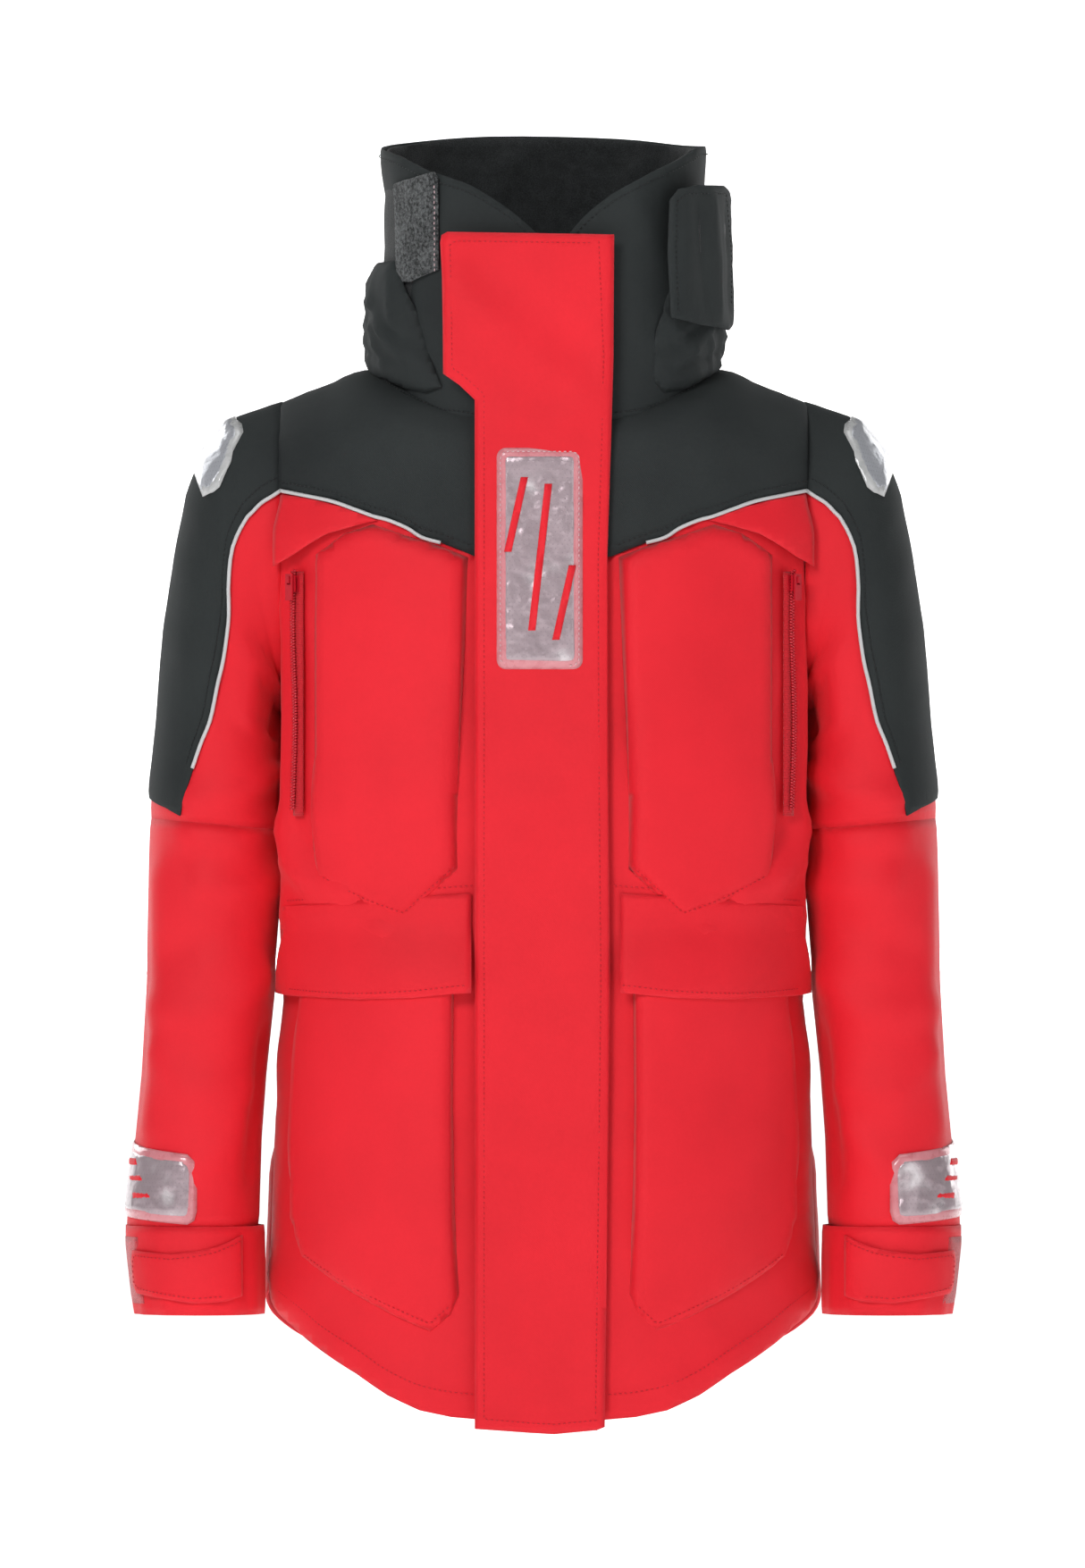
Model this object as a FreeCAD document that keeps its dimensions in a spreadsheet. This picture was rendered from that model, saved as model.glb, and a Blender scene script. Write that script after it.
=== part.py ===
import FreeCAD
import Part
import Sketcher

import math
import os
from collections import namedtuple

from FreeCAD import Vector

# Offshore foul weather jacket, hanging by its loop.
# Millimetres. +Z up, the front faces -Y, +X is the wearer's left.
# The origin is the middle of the hang loop's lower edge, where a hook takes the weight.

SETTINGS = [
    # body of the jacket
    ("torso_y", -58.4, "middle of the body, front to back"),
    ("torso_half_depth", 130.0, "half the depth of the body"),
    ("torso_flat", 60.0, "half the flat width of the front and the back"),
    ("armhole_x", 197.0, "plane of the armhole seam"),
    ("chest_round", 28.0, "how far the chest's rounded section would pass the armhole plane"),
    ("chest_bottom", -345.0, "height where the chest starts to narrow"),
    ("waist_z", -480.0, "height of the narrowest section"),
    ("hip_flare", 7.0, "how far the hip passes the armhole plane"),
    ("hip_z", -587.0, "height of the hip section"),
    ("hem_flare", 17.0, "how far the lowest section passes the armhole plane"),
    ("section_end", -860.0, "height of the lowest section, below the hem"),
    ("hem_side_z", -705.0, "hem height at the side seam"),
    ("hem_front_z", -796.0, "hem height at the middle of the front"),
    ("hem_back_z", -782.0, "hem height at the middle of the back"),
    ("shell_wall", 2.4, "laminated outer cloth, seams and padding"),
    ("lining_wall", 1.2, "lining"),
    ("stitch_gap", 0.3, "clearance between stacked layers"),
    ("joint_gap", 0.4, "clearance between pieces that move apart"),
    # shoulders
    ("neck_side_x", 135.0, "where the shoulder starts to slope"),
    ("shoulder_top", -7.0, "height of the shoulder at the neck"),
    ("shoulder_slope", 0.386, "fall of the shoulder for each unit outwards"),
    ("shoulder_round", 60.0, "height of the rounding over the shoulder"),
    ("yoke_side_z", -101.0, "yoke seam at the armhole"),
    ("yoke_mid_z", -119.0, "yoke seam halfway"),
    ("yoke_centre_z", -160.0, "yoke seam at the zip"),
    ("yoke_back_z", -118.0, "yoke seam across the back"),
    # collar
    ("collar_set", 25.0, "how far the collar's middle is ahead of the body's"),
    ("collar_half_depth", 99.0, "half the depth of the collar"),
    ("collar_flat", 45.0, "half the flat width of the collar's front"),
    ("collar_half_base", 131.0, "half width of the collar at its base"),
    ("collar_half_top", 123.0, "half width of the collar at its top"),
    ("collar_top", 167.0, "height of the collar at the back"),
    ("collar_notch", 92.0, "lowest point of the collar's front opening"),
    ("collar_wall", 3.0, "collar shell"),
    ("collar_lining_wall", 2.2, "brushed collar lining"),
    ("hood_bulge", 15.0, "thickness of the rolled hood"),
    ("hood_top", 75.0, "top of the rolled hood"),
    # storm flap and zip
    ("flap_hinge_x", 50.0, "sewn edge of the storm flap"),
    ("flap_stand", 5.0, "fold line of the storm flap, ahead of the panels"),
    ("flap_roll", 3.5, "radius of the folded edge"),
    ("flap_room", 7.0, "room for the slider behind the storm flap"),
    ("flap_wall", 2.0, "storm flap, two layers"),
    ("flap_edge_x", -52.0, "free edge of the storm flap"),
    ("flap_wide_x", -76.0, "free edge where it crosses the collar"),
    ("flap_top", 94.0, "top of the storm flap"),
    ("flap_bottom", -808.0, "bottom of the storm flap"),
    ("zip_gap", 9.0, "half the gap between the panels at the zip"),
    ("chain_slot", 0.7, "half the slot between the two rows of teeth"),
    ("chain_half", 3.2, "half the width of the closed chain"),
    ("chain_thick", 4.4, "thickness of the chain"),
    ("tape_half", 20.0, "outer edge of the zip tape"),
    ("tape_thick", 1.2, "zip tape"),
    ("zip_set", 3.3, "middle plane of the zip, behind the panels' faces"),
    ("zip_top", 84.0, "top of the chain"),
    ("zip_bottom", -776.0, "bottom of the chain"),
    ("slider_wide", 12.4, "main slider"),
    ("slider_long", 17.0, "main slider"),
    ("slider_plate", 2.0, "plates of the main slider"),
    ("puller_wide", 9.0, "puller"),
    ("puller_long", 24.0, "puller"),
    ("puller_thick", 1.4, "puller"),
    # pockets
    ("chest_pocket_depth", 12.0, "bellows depth of the chest pockets"),
    ("cargo_pocket_depth", 14.0, "bellows depth of the cargo pockets"),
    ("pocket_wall", 1.7, "pocket cloth"),
    ("pocket_side", 3.0, "gusset of a pocket"),
    ("cargo_flap_lift", 15.6, "inner face of the cargo flaps above the panel"),
    ("cargo_flap_top", -407.0, "seam of the cargo flaps"),
    ("cargo_flap_low", -482.0, "lower edge of the cargo flaps"),
    ("side_zip_in", 12.0, "handwarmer zips, in from the armhole plane"),
    ("side_zip_top", -160.0, "top of the handwarmer zips"),
    ("side_zip_low", -338.0, "bottom of the handwarmer zips"),
    # sleeves
    ("elbow_z", -372.0, "seam of the elbow"),
    ("cuff_z", -655.0, "seam of the cuff"),
    ("cuff_end", -722.0, "end of the sleeve"),
    ("sleeve_wall", 2.4, "sleeve cloth"),
    ("overlay_wall", 1.9, "hard-wearing overlay"),
    ("trim_wall", 1.1, "reflectors and loop patches"),
    ("piping_wide", 3.0, "reflective piping"),
    ("piping_high", 3.0, "reflective piping"),
    # hang loop
    ("loop_long", 64.0, "hang loop"),
    ("loop_tall", 10.0, "hang loop"),
    ("loop_thick", 1.6, "hang loop"),
    ("loop_foot", 8.0, "sewn ends of the hang loop"),
]

FAR = 1200.0          # longer than any cutter has to be
OUT = "parts"

doc = FreeCAD.newDocument("FoulWeatherJacket")
sheet = doc.addObject("Spreadsheet::Sheet", "Sheet")
for row, (alias, number, meaning) in enumerate(SETTINGS, start=1):
    sheet.set("A%d" % row, meaning)
    sheet.set("B%d" % row, str(number))
    sheet.setAlias("B%d" % row, alias)
doc.recompute()

Sizes = namedtuple("Sizes", [alias for alias, _, _ in SETTINGS])
s = Sizes(*[float(sheet.get(alias)) for alias, _, _ in SETTINGS])

front_y = s.torso_y - s.torso_half_depth
chest_half = s.armhole_x + s.chest_round
hip_half = s.armhole_x + s.hip_flare
hem_half = s.armhole_x + s.hem_flare
collar_y = s.torso_y - s.collar_set
flap_back_y = front_y - s.flap_room
side_zip_x = s.armhole_x - s.side_zip_in

# The same places as formulas on the sheet.
FRONT = "(Sheet.torso_y - Sheet.torso_half_depth)"
FLAP_BACK = "(%s - Sheet.flap_room)" % FRONT
ZIP = "(%s + Sheet.zip_set)" % FRONT

nodes = []


# ---------------------------------------------------------------- document helpers

def keep(label, shape):
    """A sub-part whose shape comes from the geometry below."""
    feature = doc.addObject("Part::Feature", label)
    feature.Label = label
    feature.Shape = shape
    feature.Placement = FreeCAD.Placement()
    nodes.append(feature)
    return feature


def keep_pair(name, shape):
    """A sub-part on the wearer's left, and its mirror image on the right."""
    keep(name + "_left", shape)
    keep(name + "_right", mirrored(shape))


def mirrored(shape):
    return shape.mirror(Vector(0, 0, 0), Vector(1, 0, 0))


def both(shape):
    """A piece and its mirror image, as separate solids of one sub-part."""
    return Part.makeCompound([shape, mirrored(shape)])


def strip(label, span_x, span_y, span_z):
    """A flat cut piece: each span is a pair of formulas, its low and high side."""
    piece = doc.addObject("Part::Box", label)
    piece.Label = label
    for size, axis, (low, high) in zip(("Length", "Width", "Height"), "xyz", (span_x, span_y, span_z)):
        piece.setExpression(size, "(%s) - (%s)" % (high, low))
        piece.setExpression("Placement.Base." + axis, low)
    nodes.append(piece)
    return piece


def plane_of(body, role):
    return next(item for item in body.Origin.OriginFeatures if item.Role == role)


def rectangle(body, name, role, width, height, centre=("0", "0")):
    """A sketch of a rectangle whose size and centre are formulas."""
    sketch = body.newObject("Sketcher::SketchObject", name)
    sketch.AttachmentSupport = [(plane_of(body, role), "")]
    sketch.MapMode = "FlatFace"
    corners = [Vector(-1, -1, 0), Vector(1, -1, 0), Vector(1, 1, 0), Vector(-1, 1, 0)]
    for start, end in zip(corners, corners[1:] + corners[:1]):
        sketch.addGeometry(Part.LineSegment(start, end), False)
    for line in range(4):
        sketch.addConstraint(Sketcher.Constraint("Coincident", line, 2, (line + 1) % 4, 1))
        kind = "Horizontal" if line % 2 == 0 else "Vertical"
        sketch.addConstraint(Sketcher.Constraint(kind, line))
    limits = (
        ("DistanceX", 0, 1, 0, 2, width),
        ("DistanceY", 1, 1, 1, 2, height),
        ("DistanceX", 0, 1, None, None, "(%s)/2 - (%s)" % (width, centre[0])),
        ("DistanceY", 0, 1, None, None, "(%s)/2 - (%s)" % (height, centre[1])),
    )
    for kind, line, point, other, end, formula in limits:
        if other is None:
            index = sketch.addConstraint(Sketcher.Constraint(kind, line, point, -1, 1, 1.0))
        else:
            index = sketch.addConstraint(Sketcher.Constraint(kind, line, point, other, end, 1.0))
        sketch.setExpression("Constraints[%d]" % index, formula)
    return sketch


def pad(body, sketch, length, both_ways=False):
    feature = body.newObject("PartDesign::Pad", sketch.Name + "Pad")
    feature.Profile = sketch
    feature.Midplane = both_ways
    feature.setExpression("Length", length)
    return feature


def pocket(body, sketch):
    feature = body.newObject("PartDesign::Pocket", sketch.Name + "Pocket")
    feature.Profile = sketch
    feature.Midplane = True
    feature.Type = 1
    return feature


def new_body(label):
    body = doc.addObject("PartDesign::Body", label)
    body.Label = label
    nodes.append(body)
    return body


# ---------------------------------------------------------------- geometry helpers

def face_of(points, normal_axis, at=0.0):
    """A flat face through points given in the two other axes, in X, Y, Z order."""
    place = {
        "x": lambda a, b: Vector(at, a, b),
        "y": lambda a, b: Vector(a, at, b),
        "z": lambda a, b: Vector(a, b, at),
    }[normal_axis]
    loop = [place(a, b) for a, b in points]
    return Part.Face(Part.makePolygon(loop + loop[:1]))


def arc_points(first, middle, last, steps=10):
    """Points along the circle through three points, as pairs."""
    arc = Part.Arc(*[Vector(a, b, 0) for a, b in (first, middle, last)]).toShape()
    return [(point.x, point.y) for point in arc.discretize(steps)]


def through_front(points, low=-FAR, high=FAR):
    """A prism whose outline is seen from the front, between two depths."""
    return face_of(points, "y", low).extrude(Vector(0, high - low, 0))


def block(x, y, z):
    """A cutter, from its low and high side along each axis."""
    return Part.makeBox(x[1] - x[0], y[1] - y[0], z[1] - z[0], Vector(x[0], y[0], z[0]))


def oval(z, half, flat, middle, depth):
    """A closed section: flat front and back, half an ellipse at each side."""
    major_on_x = half - flat >= depth
    edges = []
    for side in (1, -1):
        centre = Vector(side * flat, middle, z)
        tip = Vector(side * half, middle, z)
        low = Vector(side * flat, middle - depth, z)
        curve = Part.Ellipse(tip, low, centre) if major_on_x else Part.Ellipse(low, tip, centre)
        ends = [Vector(side * flat, middle - side * depth, z), Vector(side * flat, middle + side * depth, z)]
        start, stop = [curve.parameter(end) for end in ends]
        edge = curve.toShape(start, stop)
        if abs(edge.CenterOfMass.x) < flat:
            edge = curve.toShape(stop, start)
        edges.append(edge)
        edges.append(Part.makeLine(Vector(side * flat, middle + side * depth, z),
                                   Vector(-side * flat, middle + side * depth, z)))
    return Part.Wire(Part.__sortEdges__(edges))


def lofted(wires):
    return Part.makeLoft(wires, True, True)


trunks = {}


def trunk(inset):
    """The body below the shoulders, shrunk by inset (or grown, where it is negative)."""
    if inset not in trunks:
        levels = [
            (40.0, chest_half),
            (s.chest_bottom, chest_half),
            (s.waist_z, s.armhole_x),
            (s.hip_z, hip_half),
            (s.section_end, hem_half),
        ]
        wires = [oval(z, half - inset, s.torso_flat, s.torso_y, s.torso_half_depth - inset)
                 for z, half in levels]
        trunks[inset] = lofted(wires)
    return trunks[inset]


def shoulder_arch(inset):
    """Everything under the shoulder line: a rounded arch that slopes down from the neck."""
    depth = s.torso_half_depth - inset
    low = s.shoulder_top - s.shoulder_round
    top = s.shoulder_top - inset
    curve = Part.Ellipse(Vector(0, depth, 0), Vector(0, 0, top - low), Vector(0, 0, 0))
    if depth < top - low:
        raise ValueError("the shoulder has to be deeper than it is high")
    arch = [curve.value(math.pi * step / 24) for step in range(25)]
    outline = [(s.torso_y + point.y, low + point.z) for point in arch]
    wire = outline + [(outline[-1][0], -FAR), (outline[0][0], -FAR)]
    middle = face_of(wire, "x", -s.neck_side_x).extrude(Vector(2 * s.neck_side_x, 0, 0))
    reach = 260.0
    slope = face_of(wire, "x", s.neck_side_x).extrude(Vector(reach, 0, -reach * s.shoulder_slope))
    return middle.fuse([slope, mirrored(slope)])


torsos = {}


def torso(inset, side_inset=None):
    """The whole body with its shoulders, cut flat at the armholes."""
    side = inset if side_inset is None else side_inset
    key = (inset, side)
    if key not in torsos:
        solid = trunk(inset).common(shoulder_arch(inset))
        reach = s.armhole_x - side
        keep_wide = block((-reach, reach), (-FAR, FAR), (s.waist_z, FAR))
        keep_low = block((-FAR, FAR), (-FAR, FAR), (-FAR, s.waist_z))
        torsos[key] = solid.common(keep_wide.fuse(keep_low))
    return torsos[key]


def skin(outer, inner, build=torso):
    """The layer between two insets of the body."""
    return build(outer).cut(build(inner))


def collar_column(inset, low=-140.0, high=None):
    """The collar as a solid column, shrunk by inset."""
    top = s.collar_top if high is None else high
    wires = [oval(z, half - inset, s.collar_flat, collar_y, s.collar_half_depth - inset)
             for z, half in ((low, s.collar_half_base), (top, s.collar_half_top))]
    return lofted(wires)


def ribbon(points, wide):
    """The outline of a narrow band along a line of points."""
    left, right = [], []
    for index, (a, b) in enumerate(points):
        before = points[max(index - 1, 0)]
        after = points[min(index + 1, len(points) - 1)]
        run = math.hypot(after[0] - before[0], after[1] - before[1])
        across = (-(after[1] - before[1]) / run * wide / 2, (after[0] - before[0]) / run * wide / 2)
        left.append((a + across[0], b + across[1]))
        right.append((a - across[0], b - across[1]))
    return left + right[::-1]


# ---------------------------------------------------------------- outlines, wearer's left, seen from the front

front_hem = arc_points((-hem_half, s.hem_side_z), (0, s.hem_front_z), (hem_half, s.hem_side_z), 25)
back_hem = arc_points((-hem_half, s.hem_side_z), (0, s.hem_back_z), (hem_half, s.hem_side_z), 25)
yoke_seam = arc_points((s.armhole_x + 1, s.yoke_side_z), (127.0, s.yoke_mid_z), (-1.0, s.yoke_centre_z), 14)
WIDE = 400.0

front_below_yoke = through_front(
    [(point[0], point[1] - s.stitch_gap / 2) for point in yoke_seam if point[0] > s.zip_gap]
    + [(s.zip_gap, s.yoke_centre_z + 4.0)]
    + [(s.zip_gap, s.hem_front_z)]
    + [point for point in front_hem if point[0] > s.zip_gap]
    + [(WIDE, s.hem_side_z), (WIDE, s.yoke_side_z)],
    -FAR, s.torso_y)
front_above_yoke = through_front(
    [(point[0], point[1] + s.stitch_gap / 2) for point in yoke_seam if point[0] > s.zip_gap]
    + [(s.zip_gap, s.yoke_centre_z + 5.0), (s.zip_gap, 60.0), (WIDE, 60.0), (WIDE, s.yoke_side_z)],
    -FAR, s.torso_y)
back_below_yoke = through_front(
    back_hem + [(WIDE, s.hem_side_z), (WIDE, s.yoke_back_z), (-WIDE, s.yoke_back_z), (-WIDE, s.hem_side_z)],
    s.torso_y, FAR)
back_above_yoke = block((-WIDE, WIDE), (s.torso_y, FAR), (s.yoke_back_z + s.stitch_gap, 60.0))


# ---------------------------------------------------------------- body panels

arm_slot = block((s.armhole_x - 47.0, s.armhole_x + 63.0), (-FAR, FAR), (-190.0, 60.0)).fuse(
    Part.makeCylinder(68.0, 110.0, Vector(s.armhole_x - 47.0, s.torso_y, -190.0), Vector(1, 0, 0)))
arm_hole = trunk(s.shell_wall).common(shoulder_arch(s.shell_wall)).common(arm_slot)
arm_holes = arm_hole.fuse(mirrored(arm_hole))

neck_hole = collar_column(s.collar_wall + s.collar_lining_wall + 2.0)
shell = skin(0.0, s.shell_wall).cut(arm_holes).cut(neck_hole)

keep_pair("front_panel", shell.common(front_below_yoke))
tape_room = block((0.0, s.tape_half + 1.0), (-FAR, s.torso_y), (s.shoulder_top - s.shoulder_round - 1.0, FAR))
keep_pair("front_yoke", shell.common(front_above_yoke).cut(tape_room))
keep("back_panel", shell.common(back_below_yoke))
keep("back_yoke", shell.common(back_above_yoke))

lining_outer = s.shell_wall + s.stitch_gap
lining = skin(lining_outer, lining_outer + s.lining_wall).cut(arm_holes).cut(neck_hole)
lining_front = through_front(
    front_hem + [(WIDE, s.hem_side_z), (WIDE, 60.0), (-WIDE, 60.0), (-WIDE, s.hem_side_z)], -FAR, s.torso_y)
lining_back = through_front(
    back_hem + [(WIDE, s.hem_side_z), (WIDE, 60.0), (-WIDE, 60.0), (-WIDE, s.hem_side_z)], s.torso_y, FAR)
zip_slot = block((-s.tape_half - 6.0, s.tape_half + 6.0), (-FAR, s.torso_y), (-FAR, FAR))
keep("body_lining", lining.common(lining_front.fuse(lining_back)).cut(zip_slot))


# ---------------------------------------------------------------- collar

over_body = torso(-s.stitch_gap / 2)
collar_opening = through_front(
    [(-s.collar_half_top - 9.0, 300.0), (-s.collar_half_top - 1.0, 158.0), (-54.0, 128.0),
     (-14.0, s.collar_notch), (20.0, s.collar_notch), (52.0, 122.0), (99.0, 149.0),
     (s.collar_half_top + 2.0, 163.0), (s.collar_half_top + 9.0, 300.0)],
    -FAR, collar_y + 30.0)
collar_zip_slot = block((-s.zip_gap, s.zip_gap), (-FAR, collar_y), (-FAR, FAR))


def collar_ring(outer, inner):
    ring = collar_column(outer).cut(collar_column(inner, -150.0, s.collar_top + 10.0))
    return ring.cut(over_body).cut(collar_opening).cut(collar_zip_slot)


collar_inside = s.collar_wall + s.stitch_gap
keep("collar_shell", collar_ring(0.0, s.collar_wall))
keep("collar_lining", collar_ring(collar_inside, collar_inside + s.collar_lining_wall))

hood_roll = collar_column(-s.hood_bulge, -140.0, s.hood_top).cut(collar_column(-s.stitch_gap, -150.0, 200.0))
hood_front = block((-FAR, FAR), (-FAR, collar_y - 62.0), (-FAR, FAR))
keep("stowed_hood", hood_roll.cut(over_body).cut(hood_front))

patch_band = through_front([(78.0, 140.0), (115.0, 134.0), (104.0, 57.0), (77.0, 68.0)], -FAR, collar_y)
patch_layer = collar_column(-s.trim_wall - s.stitch_gap).cut(collar_column(-s.stitch_gap, -150.0, 200.0))
keep("collar_loop_patch", mirrored(patch_layer.common(patch_band)))

guard_inner = s.hood_bulge + s.joint_gap
guard_band = through_front([(86.0, 132.0), (180.0, 120.0), (180.0, 20.0), (86.0, 26.0)], -FAR, collar_y + 6.0)
guard_layer = collar_column(-guard_inner - s.flap_wall).cut(collar_column(-guard_inner, -150.0, 200.0))
keep("face_guard", guard_layer.common(guard_band))
guard_hook = through_front([(100.0, 112.0), (180.0, 104.0), (180.0, 42.0), (100.0, 46.0)], -FAR, collar_y - 8.0)
guard_outer = guard_inner + s.flap_wall + s.stitch_gap
hook_layer = collar_column(-guard_outer - s.trim_wall).cut(collar_column(-guard_outer, -150.0, 200.0))
keep("face_guard_hook_patch", hook_layer.common(guard_hook))

loop_back = collar_y + s.collar_half_depth - collar_inside - s.collar_lining_wall - s.stitch_gap
hang_loop = block((-s.loop_long / 2, s.loop_long / 2), (-s.loop_thick / 2, loop_back), (0, s.loop_tall))
hang_room = block((-s.loop_long / 2 + s.loop_foot, s.loop_long / 2 - s.loop_foot),
                  (s.loop_thick / 2, loop_back + 1.0), (-1.0, s.loop_tall + 1.0))
keep("hang_loop", hang_loop.cut(hang_room))


# ---------------------------------------------------------------- storm flap, zip and what is behind it

flap_outline = [
    (s.flap_hinge_x, s.flap_bottom + 8.0), (8.0, s.flap_bottom), (s.flap_edge_x, s.flap_bottom + 5.0),
    (s.flap_edge_x, -31.0), (s.flap_wide_x, -12.0), (s.flap_wide_x, s.flap_top),
    (s.flap_hinge_x, s.flap_top),
]
flap_sheet = through_front(flap_outline, flap_back_y - s.flap_wall, flap_back_y)
flap_fold = Part.makeCylinder(s.flap_roll, s.flap_top - s.flap_bottom - 8.0,
                              Vector(s.flap_hinge_x, front_y - s.flap_stand, s.flap_bottom + 8.0))
keep("storm_flap", flap_sheet.fuse(flap_fold).removeSplitter())

strip("storm_flap_hook_strip",
      ("Sheet.flap_edge_x + 6", "Sheet.flap_edge_x + 26"),
      (FLAP_BACK + " + 0.1", FLAP_BACK + " + 0.1 + Sheet.trim_wall"),
      ("Sheet.flap_bottom + 60", "-60"))
strip("storm_flap_loop_strip",
      ("Sheet.flap_edge_x + 6", "Sheet.flap_edge_x + 26"),
      (FRONT + " - 0.1 - Sheet.trim_wall", FRONT + " - 0.1"),
      ("Sheet.flap_bottom + 60", "-168"))

reflector = new_body("chest_reflector")
reflector_sketch = rectangle(reflector, "ReflectorOutline", "XZ_Plane", "64.5", "166", ("-2.8", "-151"))
reflector_pad = pad(reflector, reflector_sketch, "Sheet.trim_wall")
doc.recompute()
upright = [
    "Edge%d" % (index + 1) for index, edge in enumerate(reflector_pad.Shape.Edges)
    if abs(edge.tangentAt(edge.FirstParameter).y) > 0.99
]
rounding = reflector.newObject("PartDesign::Fillet", "ReflectorCorners")
rounding.Base = (reflector_pad, upright)
rounding.Radius = 9.0
reflector.setExpression("Placement.Base.y", FLAP_BACK + " - Sheet.flap_wall - 0.1")

strip("inner_storm_flap", ("-32", "32"), (ZIP + " + 5.4", ZIP + " + 6.8"), ("Sheet.zip_bottom - 6", "-60"))

zip_y = front_y + s.zip_set
tape = block((s.chain_half + 0.2, s.tape_half), (zip_y - s.tape_thick / 2, zip_y + s.tape_thick / 2),
             (s.zip_bottom, s.zip_top + 6.0))
keep("main_zip_tapes", both(tape))
teeth = block((s.chain_slot, s.chain_half), (zip_y - s.chain_thick / 2, zip_y + s.chain_thick / 2),
              (s.zip_bottom, s.zip_top))
keep("main_zip_teeth", both(teeth))

box = new_body("main_zip_box")
box_sketch = rectangle(box, "BoxOutline", "XY_Plane", "2 * Sheet.chain_half + 4", "Sheet.chain_thick")
pad(box, box_sketch, "9")
box.setExpression("Placement.Base.y", ZIP)
box.setExpression("Placement.Base.z", "Sheet.zip_bottom - 9.2")


CROWN_HIGH = 3.2
CROWN_LONG = 5.0
CROWN_PLACE = 0.22
EYE_BAR = 1.8
EYE_WIDE = 3.4
EYE_LONG = 6.4
PIVOT_UP = 1.1
PULLER_STANDS_OFF = 0.8


def zip_slider(label, wide, long, plate, chain, slot):
    """A slider about the middle of its chain: two plates, the wedge between them and a crown."""
    slider = new_body(label)
    room = "(%s + 0.6)" % chain
    front = rectangle(slider, label + "Plates", "XZ_Plane", wide, long)
    pad(slider, front, "%s + 2 * %s" % (room, plate), True)
    doc.recompute()
    channel = rectangle(slider, label + "Channel", "XY_Plane", "%s + 2" % wide, room)
    pocket(slider, channel)
    post = rectangle(slider, label + "Wedge", "XZ_Plane", "%s * 1.4" % slot, "%s * 0.3" % long,
                     ("0", "%s * 0.3" % long))
    pad(slider, post, "%s + %s" % (room, plate), True)
    crown = rectangle(slider, label + "Crown", "YZ_Plane", str(CROWN_HIGH), str(CROWN_LONG),
                      ("-(%s / 2 + %s + %s / 2)" % (room, plate, CROWN_HIGH), "%s * %s" % (long, CROWN_PLACE)))
    pad(slider, crown, "2.4", True)
    return slider


def zip_puller(label, wide, long, thick):
    """A puller hanging from its eye, about the middle of the eye's upper bar."""
    puller = new_body(label)
    outline = rectangle(puller, label + "Outline", "XZ_Plane", wide, long, ("0", "%s - %s / 2" % (EYE_BAR / 2, long)))
    pad(puller, outline, thick, True)
    doc.recompute()
    eye = rectangle(puller, label + "Eye", "XZ_Plane", str(EYE_WIDE), str(EYE_LONG),
                    ("0", "-%s" % (EYE_BAR / 2 + EYE_LONG / 2)))
    pocket(puller, eye)
    return puller


main_slider_z = "(Sheet.zip_top - Sheet.slider_long / 2 - 1)"
slider = zip_slider("main_zip_slider", "Sheet.slider_wide", "Sheet.slider_long", "Sheet.slider_plate",
                    "Sheet.chain_thick", "Sheet.chain_slot")
slider.setExpression("Placement.Base.y", ZIP)
slider.setExpression("Placement.Base.z", main_slider_z)
puller = zip_puller("main_zip_puller", "Sheet.puller_wide", "Sheet.puller_long", "Sheet.puller_thick")
puller.setExpression(
    "Placement.Base.y",
    ZIP + " - Sheet.chain_thick / 2 - 0.3 - Sheet.slider_plate - 0.4 - Sheet.puller_thick / 2")
puller.setExpression("Placement.Base.z", "%s + Sheet.slider_long * %s + %s" % (
    main_slider_z, CROWN_PLACE, CROWN_LONG / 2 + PIVOT_UP))


# ---------------------------------------------------------------- chest pockets and handwarmer zips

side_angle = math.acos((side_zip_x - s.torso_flat) / (chest_half - s.torso_flat))
side_zip_y = s.torso_y - s.torso_half_depth * math.sin(side_angle)
side_turn = math.degrees(math.atan2(math.cos(side_angle) / (chest_half - s.torso_flat),
                                    math.sin(side_angle) / s.torso_half_depth))


def trunk_skin(outer, inner):
    return trunk(outer).cut(trunk(inner))


def bag(outline, room, depth):
    """A bellows pocket: a front and its gussets, with the panel as its back."""
    outside = trunk_skin(-depth, -s.stitch_gap).common(through_front(outline, -FAR, s.torso_y))
    inside = trunk_skin(s.pocket_wall - depth, 1.0).common(through_front(room, -FAR, s.torso_y))
    return outside.cut(inside)


inside_x = s.flap_hinge_x + 6.0
outside_x = s.armhole_x - 25.0
chest_outline = [(inside_x, -152.0), (inside_x + 6, -275.0), (inside_x + 8, -385.0), (inside_x + 48, -423.0),
                 (outside_x - 39, -411.0), (outside_x, -390.0), (outside_x, -146.0),
                 (outside_x - 44, -124.0), (inside_x + 40, -136.0)]
chest_room = [(inside_x + 3, -157.0), (inside_x + 9, -275.0), (inside_x + 11, -383.0), (inside_x + 48, -419.0),
              (outside_x - 40, -407.5), (outside_x + 28, -371.0), (outside_x + 28, -172.0),
              (outside_x - 44, -129.0), (inside_x + 40, -141.0)]
keep_pair("chest_pocket", bag(chest_outline, chest_room, s.chest_pocket_depth))

garage_outline = [(s.armhole_x - 0.5, -104.0)] + arc_points(
    (s.armhole_x - 71.0, -123.0), (s.armhole_x - 39.0, -130.0), (s.armhole_x - 5.0, -152.0), 8)
garage_layer = trunk_skin(-s.chest_pocket_depth - s.stitch_gap - s.pocket_wall,
                          -s.chest_pocket_depth - s.stitch_gap)
keep_pair("zip_garage", garage_layer.common(through_front(garage_outline, -FAR, s.torso_y)))

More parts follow.
